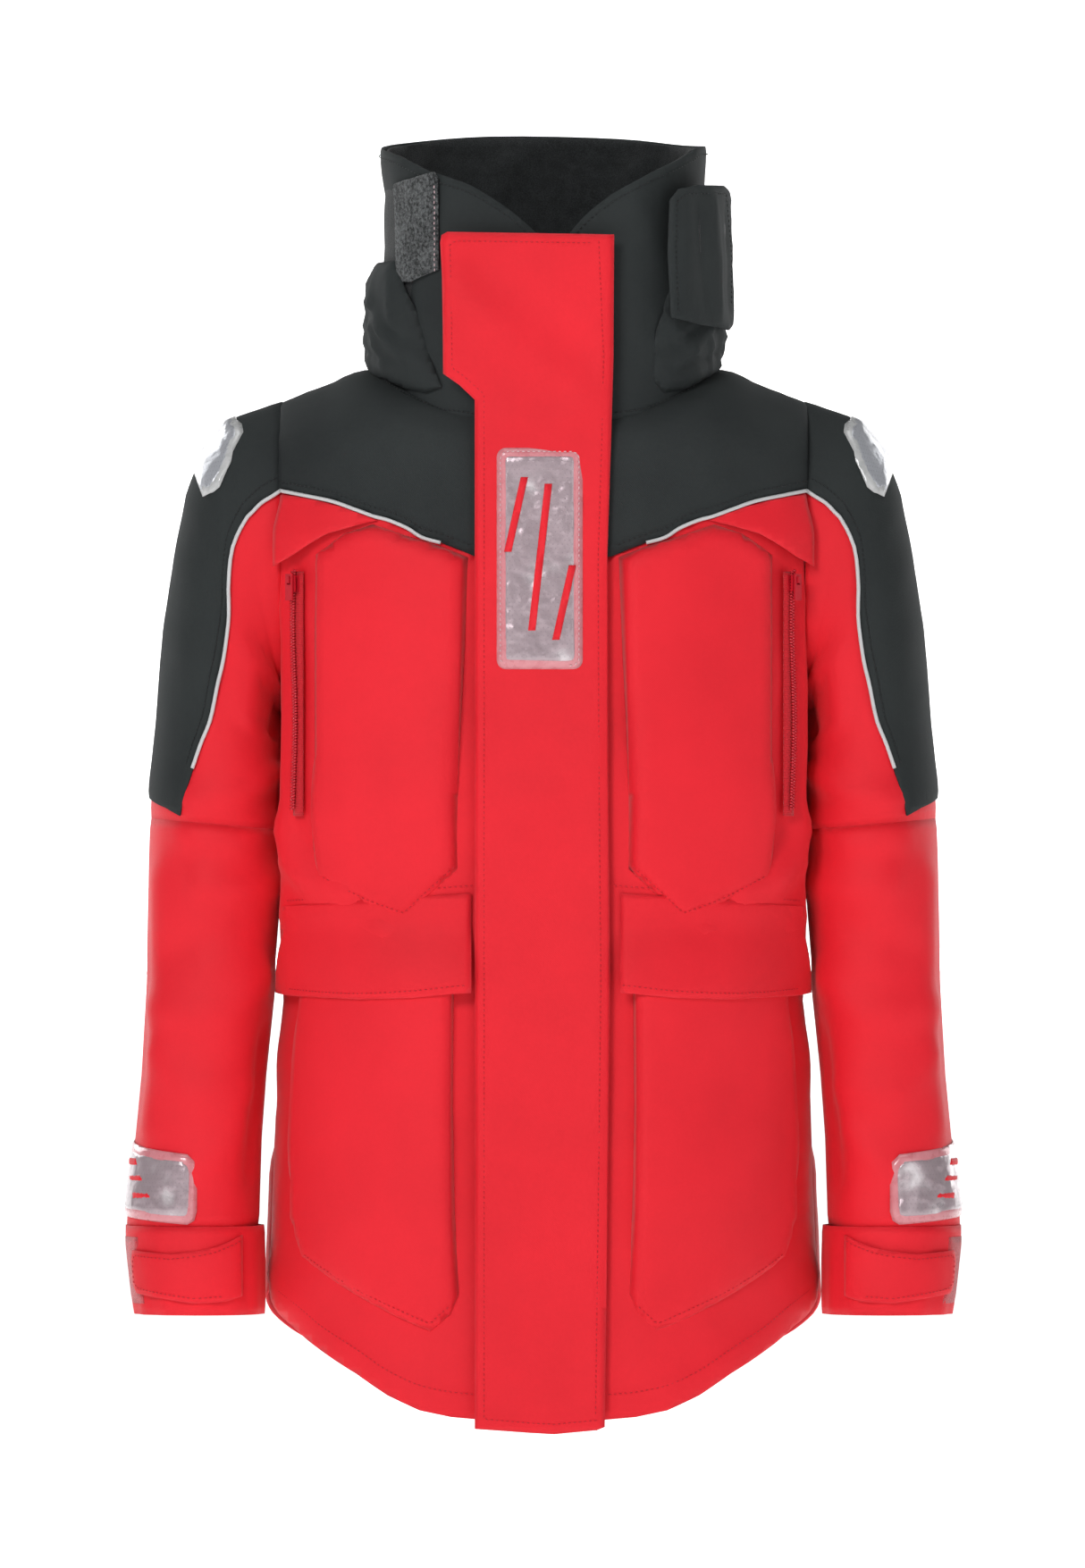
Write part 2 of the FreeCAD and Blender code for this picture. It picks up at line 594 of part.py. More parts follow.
side_tape = through_front([(side_zip_x - 10.0, s.side_zip_top), (side_zip_x + 8.0, s.side_zip_top),
                           (side_zip_x + 8.0, s.side_zip_low - 6.0), (side_zip_x - 10.0, s.side_zip_low - 6.0)],
                          -FAR, s.torso_y)
tape_layer = trunk_skin(-s.tape_thick - s.stitch_gap / 3, -s.stitch_gap / 3)
keep("handwarmer_zip_tapes", both(tape_layer.common(side_tape)))


def on_side_zip(side, z, lift):
    """The place on a side zip, at a height and a lift off the panel, of what is made facing the front."""
    turn = FreeCAD.Rotation(Vector(0, 0, 1), side * side_turn)
    out = turn.multVec(Vector(0, -lift, 0))
    return FreeCAD.Placement(Vector(side * side_zip_x + out.x, side_zip_y + out.y, z), turn)


SIDE_CHAIN = 2.6
SIDE_LIFT = s.tape_thick + 0.6 + SIDE_CHAIN / 2 + 1.9
side_slider_z = s.side_zip_top - 9.0
side_row = block((s.chain_slot, 2.4), (-SIDE_CHAIN / 2, SIDE_CHAIN / 2),
                 (s.side_zip_low - side_slider_z, s.side_zip_top - side_slider_z))
side_teeth = both(side_row).transformed(on_side_zip(1, side_slider_z, SIDE_LIFT).toMatrix(), True)
keep("handwarmer_zip_teeth", both(side_teeth))

for side, sign in (("left", 1), ("right", -1)):
    slider = zip_slider("handwarmer_slider_" + side, "8.6", "12", "1.4", str(SIDE_CHAIN), "Sheet.chain_slot")
    slider.Placement = on_side_zip(sign, side_slider_z, SIDE_LIFT)
    puller = zip_puller("handwarmer_puller_" + side, "7", "20", "1.2")
    lift = SIDE_LIFT + SIDE_CHAIN / 2 + 0.3 + 1.4 + PULLER_STANDS_OFF + 0.6
    pivot_z = side_slider_z + 12 * CROWN_PLACE + CROWN_LONG / 2 + PIVOT_UP
    puller.Placement = on_side_zip(sign, pivot_z, lift)


# ---------------------------------------------------------------- cargo pockets, their flaps and the yoke piping

cargo_in = s.flap_hinge_x + 13.0
cargo_out = s.armhole_x - 7.0
pocket_top = s.cargo_flap_top - 17.0
cargo_outline = [(cargo_in + 3, pocket_top), (cargo_in + 5, -560.0), (cargo_in, -704.0), (cargo_in + 22, -731.0),
                 (cargo_out - 55, -707.0), (cargo_out - 8, -676.0), (cargo_out, -642.0), (cargo_out, pocket_top)]
cargo_room = [(cargo_in + 6, pocket_top + 24), (cargo_in + 8, -560.0), (cargo_in + 3.5, -702.0),
              (cargo_in + 23, -727.0), (cargo_out - 56.5, -704.0), (cargo_out - 11, -674.0),
              (cargo_out - 3, -641.0), (cargo_out - 3, pocket_top + 24)]
keep_pair("cargo_pocket", bag(cargo_outline, cargo_room, s.cargo_pocket_depth))

flap_low_side = s.cargo_flap_low + 6.0
cargo_flap_in = s.flap_hinge_x + 4.0
cargo_flap_out = s.armhole_x - 2.0
cargo_flap_edge = arc_points((cargo_flap_in, flap_low_side), (s.armhole_x - 72.0, s.cargo_flap_low),
                             (cargo_flap_out, flap_low_side), 9)
cargo_flap = trunk_skin(-s.cargo_flap_lift - s.flap_wall, -s.cargo_flap_lift).common(
    through_front(cargo_flap_edge + [(cargo_flap_out, s.cargo_flap_top), (cargo_flap_in, s.cargo_flap_top)],
                  -FAR, s.torso_y))
keep_pair("cargo_flap", cargo_flap)

piping_line = [(a, b) for a, b in yoke_seam if 78.0 < a < s.armhole_x]
piping_layer = trunk_skin(-s.piping_high, -s.stitch_gap).common(shoulder_arch(-s.piping_high))
keep("yoke_piping", both(piping_layer.common(
    through_front(ribbon(piping_line, s.piping_wide), -FAR, s.torso_y))))


# ---------------------------------------------------------------- sleeves

ARM_PLANE = s.armhole_x + s.joint_gap
# Height, inner and outer side from the armhole plane, half depth and set forward of the body's middle.
UPPER_LEVELS = [
    (10.0, None, 43.0, 72.0, 0.0),
    (-46.0, None, 43.0, 72.0, 0.0),
    (-72.0, None, 59.0, 72.0, 0.0),
    (-100.0, None, 70.0, 73.0, 0.0),
    (-150.0, None, 80.0, 75.0, 0.0),
    (-200.0, None, 87.0, 77.0, 0.0),
    (-262.0, 4.0, 93.0, 78.0, 0.0),
    (s.elbow_z, 4.0, 100.0, 74.0, 0.0),
]
LOWER_LEVELS = [
    (s.elbow_z, 4.0, 100.0, 74.0, 0.0),
    (-476.0, 4.5, 102.0, 70.0, 4.0),
    (-587.0, 12.5, 109.0, 63.0, 14.0),
    (s.cuff_z, 14.0, 116.0, 57.0, 22.0),
    (s.cuff_end, 15.0, 108.0, 52.0, 28.0),
]


def half_oval(centre, tip, low):
    long_on_x = abs(tip.x - centre.x) >= abs(low.y - centre.y)
    first, second = (tip, low) if long_on_x else (low, tip)
    curve = Part.Ellipse(first, second, centre)
    far = Vector(2 * centre.x - low.x, 2 * centre.y - low.y, low.z)
    start, stop = curve.parameter(low), curve.parameter(far)
    edge = curve.toShape(start, stop if stop > start else stop + 2 * math.pi)
    if (edge.valueAt((edge.FirstParameter + edge.LastParameter) / 2) - tip).Length > 0.01:
        edge = curve.toShape(stop, start if start > stop else start + 2 * math.pi)
    return edge


def sleeve_section(level, inset):
    """One section: an outer half oval, closed by an inner one or by the armhole's flat side."""
    z, inner, outer, depth, forward = level
    middle = s.torso_y - forward
    depth -= inset
    outer += s.armhole_x - inset
    if inner is None:
        centre_x = ARM_PLANE - (0.0 if inset <= 0 else 8.0)
        centre = Vector(centre_x, middle, z)
        closing = Part.makeLine(Vector(centre_x, middle + depth, z), Vector(centre_x, middle - depth, z))
    else:
        inner += s.armhole_x + inset
        centre_x = (inner + outer) / 2
        centre = Vector(centre_x, middle, z)
        closing = half_oval(centre, Vector(inner, middle, z), Vector(centre_x, middle - depth, z))
    opening = half_oval(centre, Vector(outer, middle, z), Vector(centre_x, middle - depth, z))
    return Part.Wire(Part.__sortEdges__([opening, closing]))


def sleeve_solid(levels, inset):
    return lofted([sleeve_section(level, inset) for level in levels])


uppers = {}


def upper_sleeve(inset):
    if inset not in uppers:
        outside = block((ARM_PLANE, FAR), (-FAR, FAR), (-FAR, FAR))
        solid = sleeve_solid(UPPER_LEVELS, inset).common(shoulder_arch(inset))
        uppers[inset] = solid.common(outside) if inset <= 0 else solid
    return uppers[inset]


def lower_sleeve(inset):
    return sleeve_solid(LOWER_LEVELS, inset)


def band(low, high, x_low=0.0, y_high=FAR):
    return block((x_low, FAR), (-FAR, y_high), (low, high))


keep_pair("sleeve_upper", upper_sleeve(0.0).cut(upper_sleeve(s.sleeve_wall)))
lower_tube = lower_sleeve(0.0).cut(lower_sleeve(s.sleeve_wall))
keep_pair("sleeve_lower", lower_tube.common(band(s.cuff_z + s.stitch_gap, s.elbow_z - s.joint_gap)))
keep_pair("cuff_band", lower_tube.common(band(s.cuff_end, s.cuff_z)))


def outwards(points):
    """Places points that are given from the armhole plane."""
    return [(s.armhole_x + a, b) for a, b in points]


sleeve_seam = outwards([(2.0, -102.0), (12.0, -109.0), (25.0, -120.0), (34.0, -135.0), (40.0, -160.0),
                        (41.0, -200.0), (49.0, -249.0), (61.0, -291.0), (66.5, -308.0)])
overlay_outline = (outwards([(-47.0, -102.0)]) + sleeve_seam
                   + outwards([(76.0, -346.0), (103.0, -332.0), (133.0, -332.0), (133.0, 60.0), (-47.0, 60.0)]))
overlay = upper_sleeve(-s.overlay_wall).cut(upper_sleeve(-s.stitch_gap)).common(through_front(overlay_outline))
keep_pair("sleeve_overlay", overlay.Solids[0])

on_overlay = s.overlay_wall + s.stitch_gap
seam_layer = upper_sleeve(-s.piping_high).cut(upper_sleeve(-on_overlay))
keep_pair("sleeve_piping", seam_layer.common(
    through_front(ribbon(sleeve_seam, s.piping_wide), -FAR, s.torso_y)))

shoulder_patch = outwards([(35.0, -44.0), (28.0, -55.0), (48.0, -101.0), (57.0, -105.0), (78.0, -98.0),
                           (58.0, -44.0)])
patch_layer = upper_sleeve(-on_overlay - s.trim_wall).cut(upper_sleeve(-on_overlay))
keep_pair("shoulder_reflector", patch_layer.common(through_front(shoulder_patch, -FAR, s.torso_y + 20.0)))

cuff_patch = outwards([(133.0, -588.0), (110.0, -588.0), (72.0, -597.0), (64.0, -605.0), (64.0, -644.0),
                       (70.0, -651.0), (113.0, -646.0), (133.0, -646.0)])
patch_layer = lower_sleeve(-s.trim_wall - s.stitch_gap).cut(lower_sleeve(-s.stitch_gap))
keep_pair("cuff_reflector", patch_layer.common(through_front(cuff_patch, -FAR, s.torso_y - 6.0)))

cuff_y = s.torso_y - 26.0
tab_low, tab_high = s.cuff_end + 6.0, s.cuff_z - 2.0
loop_area = patch_layer.common(block((s.armhole_x + 103.0, FAR), (-FAR, cuff_y + 24.0),
                                     (tab_low + 2.0, tab_high - 2.0)))
keep_pair("cuff_loop_patch", loop_area)
tab_lift = s.trim_wall + s.stitch_gap + 2 * s.joint_gap
tab_layer = lower_sleeve(-tab_lift - s.flap_wall).cut(lower_sleeve(-tab_lift))
tab_region = block((s.armhole_x + 31.0, FAR), (-FAR, cuff_y - 8.0), (tab_low, tab_high))
keep_pair("cuff_tab", tab_layer.common(tab_region))

seal_inset = s.sleeve_wall + 1.5
seal = lower_sleeve(seal_inset).cut(lower_sleeve(seal_inset + s.sleeve_wall))
keep_pair("cuff_seal", seal.common(band(s.cuff_end + 14.0, s.cuff_z + 20.0)))


# ---------------------------------------------------------------- check and write

doc.recompute()
for item in doc.Objects:
    if "Invalid" in item.State or "Error" in item.State:
        raise RuntimeError("%s failed: %s" % (item.Label, item.State))
for node in nodes:
    if node.Shape.isNull() or not node.Shape.isValid() or not node.Shape.Solids:
        raise RuntimeError("%s has no valid solid" % node.Label)

os.makedirs(OUT, exist_ok=True)
for node in nodes:
    node.Shape.exportStep(os.path.join(OUT, node.Label + ".step"))
    box = node.Shape.BoundBox
    print("%-26s %d solid(s) %9.0f mm3  x %7.1f..%7.1f  y %7.1f..%7.1f  z %7.1f..%7.1f" % (
        node.Label, len(node.Shape.Solids), node.Shape.Volume,
        box.XMin, box.XMax, box.YMin, box.YMax, box.ZMin, box.ZMax))
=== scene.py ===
"""A foul weather jacket: cloth panels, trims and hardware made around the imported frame."""

import logging
import math
from dataclasses import dataclass, field, replace
from enum import Enum
from typing import Any, Callable, Iterable, Sequence

import bmesh
import bpy
from mathutils import Matrix, Vector, noise
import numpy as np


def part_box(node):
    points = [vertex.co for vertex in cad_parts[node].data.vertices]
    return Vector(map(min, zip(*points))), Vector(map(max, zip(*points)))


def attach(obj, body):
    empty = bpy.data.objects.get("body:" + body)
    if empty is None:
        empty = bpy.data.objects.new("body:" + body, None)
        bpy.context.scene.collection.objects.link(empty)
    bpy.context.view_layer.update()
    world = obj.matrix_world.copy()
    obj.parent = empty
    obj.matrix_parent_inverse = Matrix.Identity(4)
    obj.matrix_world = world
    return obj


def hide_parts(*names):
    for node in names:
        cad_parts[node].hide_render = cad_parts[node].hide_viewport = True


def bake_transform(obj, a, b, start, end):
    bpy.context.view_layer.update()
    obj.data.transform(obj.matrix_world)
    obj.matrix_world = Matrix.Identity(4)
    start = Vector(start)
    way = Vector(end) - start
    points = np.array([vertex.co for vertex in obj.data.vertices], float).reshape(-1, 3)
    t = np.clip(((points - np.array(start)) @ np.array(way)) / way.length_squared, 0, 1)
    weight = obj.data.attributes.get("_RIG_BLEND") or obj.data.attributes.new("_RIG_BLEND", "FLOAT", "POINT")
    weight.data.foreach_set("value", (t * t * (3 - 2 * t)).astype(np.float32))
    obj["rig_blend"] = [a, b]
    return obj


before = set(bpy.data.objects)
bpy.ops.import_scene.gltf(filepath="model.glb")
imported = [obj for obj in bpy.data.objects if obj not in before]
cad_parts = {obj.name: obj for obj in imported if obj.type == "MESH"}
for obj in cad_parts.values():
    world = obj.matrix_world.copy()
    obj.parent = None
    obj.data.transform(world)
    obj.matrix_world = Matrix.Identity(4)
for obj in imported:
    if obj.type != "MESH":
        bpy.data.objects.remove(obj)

LOG = logging.getLogger("jacket")
MM = 0.001
HALF_PI = math.pi / 2

Pair = tuple[float, float]


class Side(Enum):
    """The wearer's sides. The value is the sign of X."""

    LEFT = 1
    RIGHT = -1

    @property
    def word(self) -> str:
        """The side's name, as the frame's nodes and bodies end."""
        return self.name.lower()


def mm(points: Iterable[Pair]) -> list[Pair]:
    """Turns pairs in millimetres into metres."""
    return [(a * MM, b * MM) for a, b in points]


def clamp(value: float, low: float = 0.0, high: float = 1.0) -> float:
    """Keeps a value between two limits."""
    return max(low, min(high, value))


def ease(value: float) -> float:
    """Smooth step from 0 to 1."""
    t = clamp(value)
    return t * t * (3 - 2 * t)


def along(table: Sequence[Pair], key: float) -> float:
    """Reads a table of (key, value) pairs, sorted by key, with straight lines between them."""
    if key <= table[0][0]:
        return table[0][1]
    for (k0, v0), (k1, v1) in zip(table, table[1:]):
        if key <= k1:
            return v0 + (v1 - v0) * (key - k0) / (k1 - k0)
    return table[-1][1]


def curve_through(points: Sequence[Pair], steps: int = 6) -> list[Pair]:
    """Rounds a line of points with a Catmull-Rom curve.

    Args:
        points: The points, in order.
        steps: How many pieces each stretch is cut into.

    Returns:
        The rounded line, with the first and last points as given.
    """
    padded = [points[0], *points, points[-1]]
    line: list[Pair] = []
    for p0, p1, p2, p3 in zip(padded, padded[1:], padded[2:], padded[3:]):
        for step in range(steps):
            t = step / steps
            line.append(tuple(
                0.5 * (2 * p1[i] + (p2[i] - p0[i]) * t + (2 * p0[i] - 5 * p1[i] + 4 * p2[i] - p3[i]) * t ** 2
                       + (3 * p1[i] - p0[i] - 3 * p2[i] + p3[i]) * t ** 3)
                for i in (0, 1)))
    return line + [points[-1]]


def walk(points: Sequence[Pair], step: float) -> list[Pair]:
    """Points at even distances along a line of points."""
    line = [points[0]]
    rest = 0.0
    for (a0, b0), (a1, b1) in zip(points, points[1:]):
        run = math.hypot(a1 - a0, b1 - b0)
        place = step - rest
        while place <= run:
            line.append((a0 + (a1 - a0) * place / run, b0 + (b1 - b0) * place / run))
            place += step
        rest = run - (place - step)
    return line


def distance_to(point: Pair, line: Sequence[Pair]) -> float:
    """The distance from a point to a line of points."""
    best = 1e9
    px, py = point
    for (ax, ay), (bx, by) in zip(line, line[1:]):
        dx, dy = bx - ax, by - ay
        t = clamp(((px - ax) * dx + (py - ay) * dy) / (dx * dx + dy * dy + 1e-12))
        best = min(best, math.hypot(px - ax - t * dx, py - ay - t * dy))
    return best


# ------------------------------------------------------------------ the surfaces that the cloth lies on


class Chart:
    """A surface that turns flat pattern coordinates into places."""

    def point(self, u: float, v: float) -> Vector:
        """The place of a pattern point."""
        raise NotImplementedError

    def normal(self, u: float, v: float) -> Vector:
        """The outward normal at a pattern point."""
        gap = 0.0015
        across = self.point(u + gap, v) - self.point(u - gap, v)
        up = self.point(u, v + gap) - self.point(u, v - gap)
        normal = across.cross(up)
        return normal.normalized() if normal.length > 1e-12 else Vector((0, -1, 0))

    def lifted(self, u: float, v: float, lift: float) -> Vector:
        """The place of a pattern point, raised off the surface."""
        return self.point(u, v) + self.normal(u, v) * lift


def around_stadium(a: float, half: float, flat: float, depth: float, quarter: float) -> Pair:
    """Walks round a section with a flat front and back and half an ellipse at each side.

    Args:
        a: Signed distance from the middle of the front.
        half: Half the section's width.
        flat: Half the flat width.
        depth: Half the section's depth.
        quarter: The distance that stands for a quarter of the ellipse.

    Returns:
        x, and y from the section's middle.
    """
    half_way = 2 * (flat + quarter)
    a = (a + half_way) % (2 * half_way) - half_way
    side = math.copysign(1.0, a)
    a = abs(a)
    if a <= flat:
        return side * a, -depth
    turn = (a - flat) / quarter * HALF_PI
    if turn <= math.pi:
        return side * (flat + (half - flat) * math.sin(turn)), -depth * math.cos(turn)
    return side * (flat - (a - flat - 2 * quarter)), depth


@dataclass(frozen=True)
class Stadium(Chart):
    """A section with a flat front and back and rounded sides."""

    middle: float
    depth: float
    flat: float
    quarter: float

    @property
    def around(self) -> float:
        """u at the middle of the back."""
        return 2 * (self.flat + self.quarter)

    def front_u(self, a: float, half: float) -> float:
        """The u of a place on the front, a beside the middle, where the section is half wide."""
        if a <= self.flat:
            return a
        return self.flat + math.asin(clamp((a - self.flat) / (half - self.flat))) / HALF_PI * self.quarter


@dataclass(frozen=True)
class TorsoChart(Stadium):
    """The body: u runs round from the zip, v is height, and over the shoulder above the arch's foot."""

    middle: float = -58.4 * MM
    depth: float = 130 * MM
    flat: float = 60 * MM
    quarter: float = 230 * MM
    side_plane: float = 198.4 * MM
    waist: float = -480 * MM
    arch: float = 60 * MM
    over: float = 140 * MM
    widths: tuple[Pair, ...] = ((-0.86, 0.214), (-0.587, 0.204), (-0.48, 0.197), (-0.345, 0.225),
                                (0.04, 0.225))

    def half(self, z: float) -> float:
        """Half the width of the section at a height."""
        return along(self.widths, z)

    def ridge(self, x: float) -> float:
        """Height of the shoulder line."""
        out = abs(x) - 135 * MM
        return -7 * MM - 0.386 * (out if out > 0.02 else 0.02 * ease(out / 0.02) * 0.7 if out > 0 else 0.0)

    def foot(self, x: float) -> float:
        """Height where the shoulder starts to round over."""
        return self.ridge(x) - self.arch

    def point(self, u: float, v: float) -> Vector:
        """See Chart."""
        x, dy = around_stadium(u, self.half(v), self.flat, self.depth, self.quarter)
        if v > self.waist:
            x = clamp(x, -self.side_plane, self.side_plane)
        foot = self.foot(x)
        if v <= foot:
            return Vector((x, self.middle + dy, v))
        turn = min((v - foot) / self.over, 1.0) * HALF_PI
        return Vector((x, self.middle + dy * math.cos(turn), foot + self.arch * math.sin(turn)))

    def u_of(self, x: float, z: float, back: bool = False) -> float:
        """The u of a place on the front (or back) seen from the front."""
        side, a = math.copysign(1.0, x), abs(x)
        u = self.front_u(a, self.half(z))
        return side * (self.around - u if back else u)

    @property
    def side_seam(self) -> float:
        """u at the side seam."""
        return self.flat + self.quarter


@dataclass(frozen=True)
class CollarChart(Stadium):
    """The collar: u runs round from the zip, v is height."""

    middle: float = -83.4 * MM
    depth: float = 99 * MM
    flat: float = 45 * MM
    quarter: float = 143 * MM
    bottom: Pair = (-0.05, 0.129)
    top: Pair = (0.167, 0.1235)

    def half(self, z: float) -> float:
        """Half the width at a height."""
        return (self.bottom[1]
                + (self.top[1] - self.bottom[1]) * (z - self.bottom[0]) / (self.top[0] - self.bottom[0]))

    def point(self, u: float, v: float) -> Vector:
        """See Chart."""
        x, dy = around_stadium(u, self.half(v), self.flat, self.depth, self.quarter)
        return Vector((x, self.middle + dy, v))

    def u_of(self, x: float) -> float:
        """The u of a place on the front."""
        return math.copysign(1.0, x) * self.front_u(abs(x), self.half(0.05))


@dataclass(frozen=True)
class SleeveChart(Chart):
    """A sleeve: u is the angle's share round from the outer line, v is height on the outer line's scale."""

    side: Side = Side.LEFT
    middle: float = -58.4 * MM
    girth: float = 190 * MM
    # v, then x and z of the outer line, x and z of the inner line, half the depth and the set forward
    rows: tuple[tuple[float, ...], ...] = (
        (0.000, 197, -31, 197, -258, 72, 0),
        (0.040, 237, -46, 197.2, -259.5, 73, 0),
        (0.074, 258, -72, 197.4, -262, 74, 0),
        (0.104, 269, -100, 197.5, -266, 75, 0),
        (0.155, 278.5, -150, 197.6, -275, 76, 0),
        (0.206, 286, -200, 197.7, -289, 77, 0),
        (0.268, 292, -262, 197.8, -310, 77, 0),
        (0.330, 297.5, -324, 198.0, -340, 75.5, 0),
        (0.378, 299.5, -372, 198.2, -372, 74, 0),
        (0.482, 301.5, -476, 199.0, -476, 70, 4),
        (0.545, 305.0, -539, 205.5, -539, 66, 9),
        (0.593, 309.5, -587, 209.0, -587, 63, 14),
        (0.661, 316.5, -655, 211.0, -655, 57, 22),
        (0.728, 309, -722, 211.0, -722, 52, 28),
    )

    def row(self, v: float) -> list[float]:
        """Outer x, outer z, inner x, inner z, half depth and set, in metres, at a v."""
        keys = [row[0] for row in self.rows]
        return [along(tuple(zip(keys, (row[i] for row in self.rows))), v) * MM for i in range(1, 7)]

    def point(self, u: float, v: float) -> Vector:
        """See Chart."""
        outer_x, outer_z, inner_x, inner_z, depth, forward = self.row(v)
        outer, inner = Vector((outer_x, 0, outer_z)), Vector((inner_x, 0, inner_z))
        angle = u / self.girth * math.pi
        cosine, sine = math.cos(angle), math.sin(angle)
        place = (outer + inner) / 2 + (outer - inner) / 2 * math.copysign(abs(cosine) ** 0.9, cosine)
        place.y = self.middle - forward - depth * sine
        place.x *= self.side.value
        return place

    def normal(self, u: float, v: float) -> Vector:
        """See Chart."""
        normal = super().normal(u, v)
        outer_x, outer_z, inner_x, inner_z, _, forward = self.row(v)
        core = Vector((self.side.value * (outer_x + inner_x) / 2, self.middle - forward,
                       (outer_z + inner_z) / 2))
        return normal if normal.dot(self.point(u, v) - core) > 0 else -normal

    def locate(self, x: float, z: float) -> Pair:
        """The front pattern point that is seen at x (of the left sleeve) and z from the front."""
        best, u, v, span_u, span_v = 1e9, 0.08, 0.3, 0.09, 0.36
        for _ in range(7):
            grid = [(u + span_u * i / 6, v + span_v * j / 6) for i in range(-6, 7) for j in range(-6, 7)]
            for trial_u, trial_v in grid:
                if not (0.0 <= trial_u <= self.girth and 0.0 <= trial_v <= 0.728):
                    continue
                place = self.point(trial_u, trial_v)
                miss = math.hypot(abs(place.x) - x, place.z - z)
                if miss < best:
                    best, u, v = miss, trial_u, trial_v
            span_u, span_v = span_u / 3, span_v / 3
        return u, v


TORSO = TorsoChart()
COLLAR = CollarChart()
SLEEVES = {side: SleeveChart(side=side) for side in Side}


# ------------------------------------------------------------------ cutting and shaping cloth


@dataclass(frozen=True)
class Fold:
    """A soft ridge (or, with a negative height, a crease) along a line of pattern points."""

    line: tuple[Pair, ...]
    height: float
    width: float

    def rise(self, u: float, v: float) -> float:
        """How far the cloth stands off because of this fold."""
        away = distance_to((u, v), self.line) / self.width
        return self.height * math.exp(-away * away) if away < 3 else 0.0


@dataclass(frozen=True)
class Drape:
    """How a piece of cloth lies on its surface.

    Attributes:
        lift: Distance from the surface.
        bag: How far the middle stands out beyond the edge.
        run: The distance from the edge over which it comes out.
        curl: How far the edge itself turns in.
        uneven: Height of the slow unevenness.
        grain: Size of the unevenness.
        ripple: Height of the fine ripple beside the seams.
        folds: The designed folds.
        shape: Any further rise, from pattern coordinates.
    """

    lift: float = 0.0
    bag: float | Callable[[float, float], float] = 0.0
    run: float = 0.02
    curl: float = 0.0006
    uneven: float = 0.0015
    grain: float = 0.07
    ripple: float = 0.0004
    folds: tuple[Fold, ...] = ()
    shape: Callable[[float, float], float] | None = None

    def rise(self, u: float, v: float, edge: float, seed: float) -> float:
        """Total distance from the surface at a pattern point.

        Args:
            u: Pattern coordinate.
            v: Pattern coordinate.
            edge: Distance from the nearest edge of the cut.
            seed: Sets the piece's own unevenness.

        Returns:
            The distance in metres.
        """
        bag = self.bag(u, v) if callable(self.bag) else self.bag
        out = self.lift + bag * math.sin(HALF_PI * clamp(edge / self.run)) ** 0.7
        out -= self.curl * math.exp(-edge / 0.0025)
        free = 0.35 + 0.65 * ease(edge / 0.03)
        out += self.uneven * free * noise.noise(Vector((u / self.grain, v / self.grain, seed)))
        out += 0.35 * self.uneven * free * noise.noise(Vector((u / self.grain * 3, v / self.grain * 3,
                                                               seed + 7)))
        if self.ripple:
            near = math.exp(-((edge - 0.006) / 0.007) ** 2)
            out += self.ripple * near * noise.noise(Vector((u * 160, v * 160, seed + 3)))
        for fold in self.folds:
            out += fold.rise(u, v) * (0.3 + 0.7 * ease(edge / 0.02))
        return out + (self.shape(u, v) if self.shape else 0.0)


def new_object(name: str, mesh: bmesh.types.BMesh, finish: bpy.types.Material) -> bpy.types.Object:
    """Makes an object from a bmesh and gives it a finish."""
    data = bpy.data.meshes.new(name)
    mesh.to_mesh(data)
    mesh.free()
    data.materials.append(finish)
    piece = bpy.data.objects.new(name, data)
    bpy.context.scene.collection.objects.link(piece)
    for face in data.polygons:
        face.use_smooth = True
    LOG.info("made %s", name)
    return piece


def thicken(piece: bpy.types.Object, thickness: float) -> None:
    """Gives a sheet its thickness, inwards from its face."""
    solid = piece.modifiers.new("Thickness", "SOLIDIFY")
    solid.thickness = thickness
    solid.offset = -1.0
    solid.use_even_offset = False


def dice(mesh: bmesh.types.BMesh, step: float, axes: Sequence[int] = (0, 1)) -> None:
    """Cuts a flat shape into small faces along both pattern directions."""
    for axis in axes:
        low = min(vert.co[axis] for vert in mesh.verts)
        high = max(vert.co[axis] for vert in mesh.verts)
        count = max(2, round((high - low) / step))
        for i in range(1, count):
            place, normal = Vector((0, 0, 0)), Vector((0, 0, 0))
            place[axis], normal[axis] = low + (high - low) * i / count, 1.0
            everything = [*mesh.verts, *mesh.edges, *mesh.faces]
            bmesh.ops.bisect_plane(mesh, geom=everything, dist=step * 0.04, plane_co=place, plane_no=normal)


def flat_shape(outline: Sequence[Pair], rims: Sequence[float], step: float) -> bmesh.types.BMesh:
    """Makes the flat cut of a piece: its outline, loops beside the edge, and an even grid inside.

    Args:
        outline: Corners in pattern coordinates.
        rims: Widths of the loops beside the edge, from the edge inwards.
        step: Size of the grid.

    Returns:
        A bmesh in pattern coordinates, with the distance to the edge in the layer "edge".
    """
    mesh = bmesh.new()
    corners = [mesh.verts.new((u, v, 0)) for u, v in outline]
    face = mesh.faces.new(corners)
    face.normal_update()
    if face.normal.z < 0:
        face.normal_flip()
    for width in rims:
        bmesh.ops.inset_region(mesh, faces=[face], thickness=width, use_even_offset=True)
    dice(mesh, step)
    layer = mesh.verts.layers.float.new("edge")
    loop = [*outline, outline[0]]
    for vert in mesh.verts:
        vert[layer] = distance_to((vert.co.x, vert.co.y), loop)
    return mesh


def lay(mesh: bmesh.types.BMesh, chart: Chart, drape: Drape, seed: float) -> None:
    """Lays a flat cut on its surface and keeps the pattern coordinates as its UV map."""
    pattern = mesh.loops.layers.uv.new("cut")
    for face in mesh.faces:
        for corner in face.loops:
            corner[pattern].uv = (corner.vert.co.x, corner.vert.co.y)
    layer = mesh.verts.layers.float["edge"]
    for vert in mesh.verts:
        u, v = vert.co.x, vert.co.y
        vert.co = chart.lifted(u, v, drape.rise(u, v, vert[layer], seed))


